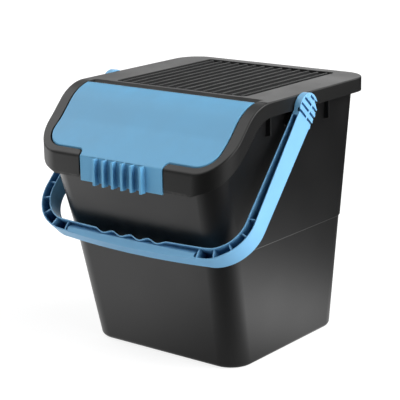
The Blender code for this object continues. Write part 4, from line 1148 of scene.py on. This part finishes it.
def noise(tree, place, scale, detail, roughness=0.5):
    """A noise texture's value."""
    return add_node(tree, "ShaderNodeTexNoise", {"Vector": place, "Scale": scale, "Detail": detail,
                                                 "Roughness": roughness})[0]


def ranged(tree, value, low, high, to_low=0.0, to_high=1.0):
    """Map a value from one range to another, clamped and smooth."""
    return add_node(tree, "ShaderNodeMapRange", dict(enumerate((value, low, high, to_low, to_high))),
                    interpolation_type="SMOOTHSTEP")[0]


def patchy(tree, place, span, **settings):
    """Noise mapped from a span of its values."""
    return ranged(tree, noise(tree, place, **settings), *span)


def nearness(tree, reach, span, inside=False):
    """How closed in a face is within a reach, or with inside how near an outer edge it is."""
    found = add_node(tree, "ShaderNodeAmbientOcclusion", {"Distance": reach}, inside=inside, only_local=True,
                     samples=CORNER_SAMPLES)["AO"]
    return ranged(tree, found, *span)


def grain_group():
    """Fine spark-eroded grain of a moulded face."""
    tree, inputs, outputs = shader_group("moulded_grain", {
        "Vector": "NodeSocketVector", "Grains per Metre": 1100.0, "Coarse Share": 0.4}, "Height", "Shade")
    place = inputs["Vector"]
    fine = noise(tree, place, inputs["Grains per Metre"], 2.0)
    coarse = noise(tree, place, maths(tree, "MULTIPLY", inputs["Grains per Metre"], COARSE_GRAIN), 3.0)
    feed(tree, outputs["Height"],
         maths(tree, "ADD", maths(tree, "MULTIPLY", coarse, inputs["Coarse Share"]), fine))
    feed(tree, outputs["Shade"], patchy(tree, place, (0.3, 0.7), scale=14.0, detail=4.0))
    return tree


def wear_and_highlight_masks(tree, place):
    """Worn edges that also paint highlights along them, broken up by noise."""
    return (nearness(tree, EDGE_WEAR_AND_HIGHLIGHT_REACH, (0.92, 0.45), inside=True),
            patchy(tree, place, (0.42, 0.72), scale=60.0, detail=5.0, roughness=0.65))


def mark_masks(tree, place):
    """Fine handling marks in two directions."""
    marks = []
    for turn, fineness in MARK_DIRECTIONS:
        turned = add_node(tree, "ShaderNodeMapping", {"Vector": place, "Rotation": turn,
                                                      "Scale": fineness})[0]
        marks.append(patchy(tree, turned, (0.68, 0.76), scale=1.0, detail=2.0))
    return maths(tree, "MAXIMUM", *marks), patchy(tree, place, (0.48, 0.66), scale=18.0, detail=3.0)


def dust_masks(tree, place):
    """A thin film of dust on faces that look up."""
    normal = tree.nodes.new("ShaderNodeNewGeometry").outputs["Normal"]
    up = add_node(tree, "ShaderNodeSeparateXYZ", {0: normal})[2]
    return (ranged(tree, up, 0.55, 0.98),
            patchy(tree, place, (0.35, 0.8), scale=45.0, detail=6.0, roughness=0.7))


def painted_shade_masks(tree, place):
    """Painted shade that darkens grooves, corners and the gaps between ribs."""
    return (nearness(tree, PAINTED_SHADE_REACH, (0.80, 0.42)),
            patchy(tree, place, (0.2, 0.7, 0.7, 1.0), scale=120.0, detail=3.0))


def mask_group(name, amount, masks):
    """A shared mask: two masks over the surface, multiplied by each other and by an amount."""
    tree, inputs, outputs = shader_group(name, {"Vector": "NodeSocketVector", "Amount": amount}, "Mask")
    both = maths(tree, "MULTIPLY", *masks(tree, inputs["Vector"]))
    feed(tree, outputs["Mask"], maths(tree, "MULTIPLY", both, inputs["Amount"]))
    return tree


def mixed_colour(tree, part, first, second):
    """Blend two colours; part is how much of the second one shows."""
    return add_node(tree, "ShaderNodeMix", {0: part, 6: first, 7: second}, data_type="RGBA")[2]


def use_group(tree, group, **values):
    """Place a shared group in a material and return its outputs."""
    sockets = {label.replace("_", " "): value for label, value in values.items()}
    return add_node(tree, "ShaderNodeGroup", sockets, node_tree=group)


def moulded_plastic(piece, groups, finish, roughness, grain, depth, light):
    """A moulded plastic with grain, worn edges with painted highlights, handling marks, dust and painted
    shade in corners.
    """
    name = piece + "_shell_plastic"
    material = bpy.data.materials.new(name)
    if material.name != name:
        raise RuntimeError(f"There is already a material called {name}")
    material.use_nodes = True
    tree = material.node_tree
    shader = tree.nodes["Principled BSDF"].inputs
    place = tree.nodes.new("ShaderNodeTexCoord").outputs["Object"]
    texture = use_group(tree, groups["grain"], Vector=place, Grains_per_Metre=grain)
    wear_and_highlight, marks, dust, grime = [
        use_group(tree, groups[mask], Vector=place, Amount=getattr(finish, mask))["Mask"]
        for mask in ("wear_and_highlight", "marks", "dust", "grime")]
    base = getattr(finish, piece + "_colour")
    darker = (*[value * SHADE_SPAN[0] for value in base], 1)
    lighter = (*[min(value * SHADE_SPAN[1], 1) for value in base], 1)
    plain = mixed_colour(tree, texture["Shade"], darker, lighter)
    # Worn edges, with highlights painted along them in the lighter colour
    worn_and_highlit = mixed_colour(tree, wear_and_highlight, plain, light)
    marked = mixed_colour(tree, maths(tree, "MULTIPLY", marks, MARK_SHARE), worn_and_highlit, light)
    dusty = mixed_colour(tree, dust, marked, DUST_COLOUR)
    # Painted shade: corners and grooves darken towards this colour
    dark = (*[value * left for value, left in zip(base, PAINTED_SHADE_SHARES)], 1)
    feed(tree, shader["Base Color"], mixed_colour(tree, grime, dusty, dark))
    rough = maths(tree, "MULTIPLY_ADD", texture["Shade"], ROUGHER_SHADE, roughness - ROUGHER_SHADE / 2)
    for mask, more in ((marks, ROUGHER_MARKS), (grime, ROUGHER_PAINTED_SHADE), (dust, ROUGHER_DUST)):
        rough = maths(tree, "MULTIPLY_ADD", mask, more, rough)
    feed(tree, shader["Roughness"], rough)
    feed(tree, shader["Normal"], add_node(tree, "ShaderNodeBump", {
        "Strength": GRAIN_STRENGTH, "Distance": depth, "Height": texture["Height"]})[0])
    shader["IOR"].default_value = PLASTIC_IOR
    return material


class BIN_OT_plastics(bpy.types.Operator):
    """Mix the four moulded plastics"""
    bl_idname = "bin.plastics"
    bl_label = "Plastics"

    def execute(self, context):
        groups = {"grain": grain_group(), "wear_and_highlight": mask_group("rubbed_edges", 0.3, wear_and_highlight_masks),
                  "marks": mask_group("handling_marks", 0.3, mark_masks),
                  "dust": mask_group("settled_dust", 0.2, dust_masks),
                  "grime": mask_group("corner_grime", 0.5, painted_shade_masks)}
        for piece, roughness, grain, depth, light in PLASTICS:
            moulded_plastic(piece, groups, context.scene.bin_finish, roughness, grain, depth, light)
        return {"FINISHED"}


class BIN_OT_bucket(bpy.types.Operator):
    """Mould the tapered bucket with its rim, gussets and pivot bosses"""
    bl_idname = "bin.bucket"
    bl_label = "Bucket"

    def execute(self, context):
        build_bucket(context.scene.bin_bucket, bpy.data.materials["bucket_shell_plastic"])
        return {"FINISHED"}


class BIN_OT_lid(bpy.types.Operator):
    """Mould the lid frame with its stacking ribs"""
    bl_idname = "bin.lid"
    bl_label = "Lid"

    def execute(self, context):
        build_lid(context.scene.bin_lid, bpy.data.materials["lid_shell_plastic"], row_tree())
        return {"FINISHED"}


class BIN_OT_flap(bpy.types.Operator):
    """Mould the lift-up flap with its hinge and finned grip"""
    bl_idname = "bin.flap"
    bl_label = "Flap"

    def execute(self, context):
        build_flap(context.scene.bin_flap, bpy.data.materials["flap_shell_plastic"], row_tree())
        return {"FINISHED"}


class BIN_OT_handle(bpy.types.Operator):
    """Mould the carrying handle and hang it on its pivots"""
    bl_idname = "bin.handle"
    bl_label = "Carrying Handle"

    def execute(self, context):
        build_handle(context.scene.bin_handle, bpy.data.materials["handle_shell_plastic"])
        return {"FINISHED"}


class BIN_OT_studio(bpy.types.Operator):
    """Set the floor, the soft lights and the camera"""
    bl_idname = "bin.studio"
    bl_label = "Studio"

    def execute(self, context):
        scene = context.scene
        studio = scene.bin_studio
        scene.view_settings.view_transform = "Standard"
        scene.camera = add_object("photo_camera", set_up(
            bpy.data.cameras.new("photo_camera"), lens=studio.lens, sensor_width=36, clip_start=0.05))
        back = Vector(compass(CAMERA_AZIMUTH, CAMERA_ELEVATION))
        across = (-back).cross(Vector((0, 0, 1))).normalized()
        up = across.cross(-back)
        roll = radians(CAMERA_ROLL)
        axes = (across * cos(roll) + up * sin(roll), up * cos(roll) - across * sin(roll), back)
        scene.camera.matrix_world = Matrix.Translation(CAMERA_PLACE) @ Matrix(axes).transposed().to_4x4()

        half = FLOOR_HALF_WIDTH
        mesh = bpy.data.meshes.new("floor")
        mesh.from_pydata([(-half, -half, 0), (half, -half, 0), (half, half, 0), (-half, half, 0)], [],
                         [(0, 1, 2, 3)])
        floor = add_object("floor", mesh)
        mesh.materials.append(floor_material(studio))
        scene.world = studio_world(studio)
        return {"FINISHED"}


def compass(azimuth, elevation):
    """A direction, turned from the front of the bin to its right side by the azimuth, in degrees."""
    turn, rise = radians(azimuth), radians(elevation)
    return sin(turn) * cos(rise), -cos(turn) * cos(rise), sin(rise)


def soft_light_group():
    """The brightness of one soft round light, seen in a direction."""
    tree, inputs, outputs = shader_group("soft_light", {
        "Direction": "NodeSocketVector", "Towards": (0, 0, 1), "Half Width": 0.3, "Strength": 1.0}, "Value")
    facing = add_node(tree, "ShaderNodeVectorMath", {0: inputs["Direction"], 1: inputs["Towards"]},
                      operation="DOT_PRODUCT")["Value"]
    spread = maths(tree, "SUBTRACT", 1.0, maths(tree, "COSINE", inputs["Half Width"]))
    fade = maths(tree, "POWER", 2.0, maths(tree, "DIVIDE", maths(tree, "SUBTRACT", facing, 1.0), spread))
    feed(tree, outputs["Value"], maths(tree, "MULTIPLY", fade, inputs["Strength"]))
    return tree


def glow_group():
    """The brightness of one lit patch of the floor."""
    tree, inputs, outputs = shader_group("lit_patch", {
        "Place": "NodeSocketVector", "Middle": (0, 0, 0), "Half Width": 0.3, "Strength": 1.0}, "Value")
    gap = add_node(tree, "ShaderNodeVectorMath", {0: inputs["Place"], 1: inputs["Middle"]},
                   operation="DISTANCE")["Value"]
    off = maths(tree, "POWER", maths(tree, "DIVIDE", gap, inputs["Half Width"]), 2.0)
    feed(tree, outputs["Value"],
         maths(tree, "MULTIPLY", maths(tree, "POWER", 0.5, off), inputs["Strength"]))
    return tree


def floor_material(studio):
    """A pale floor: white to the camera with the bin's soft shadow, with lit patches in reflections."""
    material = bpy.data.materials.new("studio_floor")
    material.use_nodes = True
    tree = material.node_tree
    shader = tree.nodes["Principled BSDF"]
    for label, value in (("Base Color", FLOOR_COLOUR), ("Roughness", 1.0), ("Specular IOR Level", 0)):
        shader.inputs[label].default_value = value
    ray = tree.nodes.new("ShaderNodeLightPath").outputs
    place = tree.nodes.new("ShaderNodeTexCoord").outputs["Object"]
    white = add_node(tree, "ShaderNodeEmission", {"Strength": FLOOR_WHITE})[0]
    veil = add_node(tree, "ShaderNodeBsdfDiffuse", {"Color": FLOOR_VEIL})[0]
    seen = add_node(tree, "ShaderNodeAddShader", {0: white, 1: veil})[0]

    group = glow_group()
    total = FLOOR_DIM
    for azimuth, distance, half_width, strength in FLOOR_PATCHES:
        middle = [value * distance for value in compass(azimuth, 0)]
        patch = use_group(tree, group, Place=place, Middle=middle, Half_Width=half_width,
                          Strength=strength * studio.floor_glow)["Value"]
        total = maths(tree, "ADD", patch, total)
    glow = add_node(tree, "ShaderNodeEmission", {"Strength": total})[0]

    surface = shader.outputs[0]
    for kind, other in (("Is Camera Ray", seen), ("Is Glossy Ray", glow)):
        surface = add_node(tree, "ShaderNodeMixShader", {0: ray[kind], 1: surface, 2: other})[0]
    feed(tree, tree.nodes["Material Output"].inputs["Surface"], surface)
    return material


def studio_world(studio):
    """A white room for the camera, with soft lights round the bin for its light and reflections."""
    world = bpy.data.worlds.new("studio")
    world.use_nodes = True
    tree = world.node_tree
    direction = tree.nodes.new("ShaderNodeTexCoord").outputs["Generated"]
    group = soft_light_group()
    total = 0.0
    for setting, azimuth, elevation, half_width in SOFT_LIGHTS:
        light = use_group(tree, group, Direction=direction, Towards=compass(azimuth, elevation),
                          Half_Width=radians(half_width), Strength=getattr(studio, setting))["Value"]
        total = maths(tree, "ADD", light, total)
    camera = tree.nodes.new("ShaderNodeLightPath").outputs["Is Camera Ray"]
    strength = add_node(tree, "ShaderNodeMix", {0: camera, 2: total, 3: 1.0})[0]
    feed(tree, tree.nodes["Background"].inputs["Strength"], strength)
    tree.nodes["Background"].inputs["Color"].default_value = (1, 1, 1, 1)
    return world


class BIN_PT_panel(bpy.types.Panel):
    """Lists the bin's pieces and its studio."""
    bl_idname = "BIN_PT_panel"
    bl_label = "Lidded Bin"
    bl_space_type = "VIEW_3D"
    bl_region_type = "UI"
    bl_category = "Bin"

    def draw(self, context):
        for step, group in (("plastics", "finish"), ("bucket", "bucket"), ("lid", "lid"), ("flap", "flap"),
                            ("handle", "handle"), ("studio", "studio")):
            box = self.layout.box()
            box.label(text=step.title())
            settings = getattr(context.scene, "bin_" + group)
            for name in type(settings).__annotations__:
                box.prop(settings, name)
            box.operator("bin." + step)


GROUPS = {"bin_bucket": BinBucket, "bin_lid": BinLid, "bin_flap": BinFlap, "bin_handle": BinHandle,
          "bin_finish": BinFinish, "bin_studio": BinStudio}
CLASSES = (*GROUPS.values(), BIN_OT_plastics, BIN_OT_bucket, BIN_OT_lid, BIN_OT_flap, BIN_OT_handle,
           BIN_OT_studio, BIN_PT_panel)


def register():
    for one in CLASSES:
        bpy.utils.register_class(one)
    for name, group in GROUPS.items():
        setattr(bpy.types.Scene, name, PointerProperty(type=group))


def unregister():
    for name in GROUPS:
        delattr(bpy.types.Scene, name)
    for one in reversed(CLASSES):
        bpy.utils.unregister_class(one)


def main():
    register()
    bpy.ops.bin.plastics()
    bpy.ops.bin.bucket()
    bpy.ops.bin.lid()
    bpy.ops.bin.flap()
    bpy.ops.bin.handle()
    bpy.ops.bin.studio()


if __name__ == "__main__":
    main()
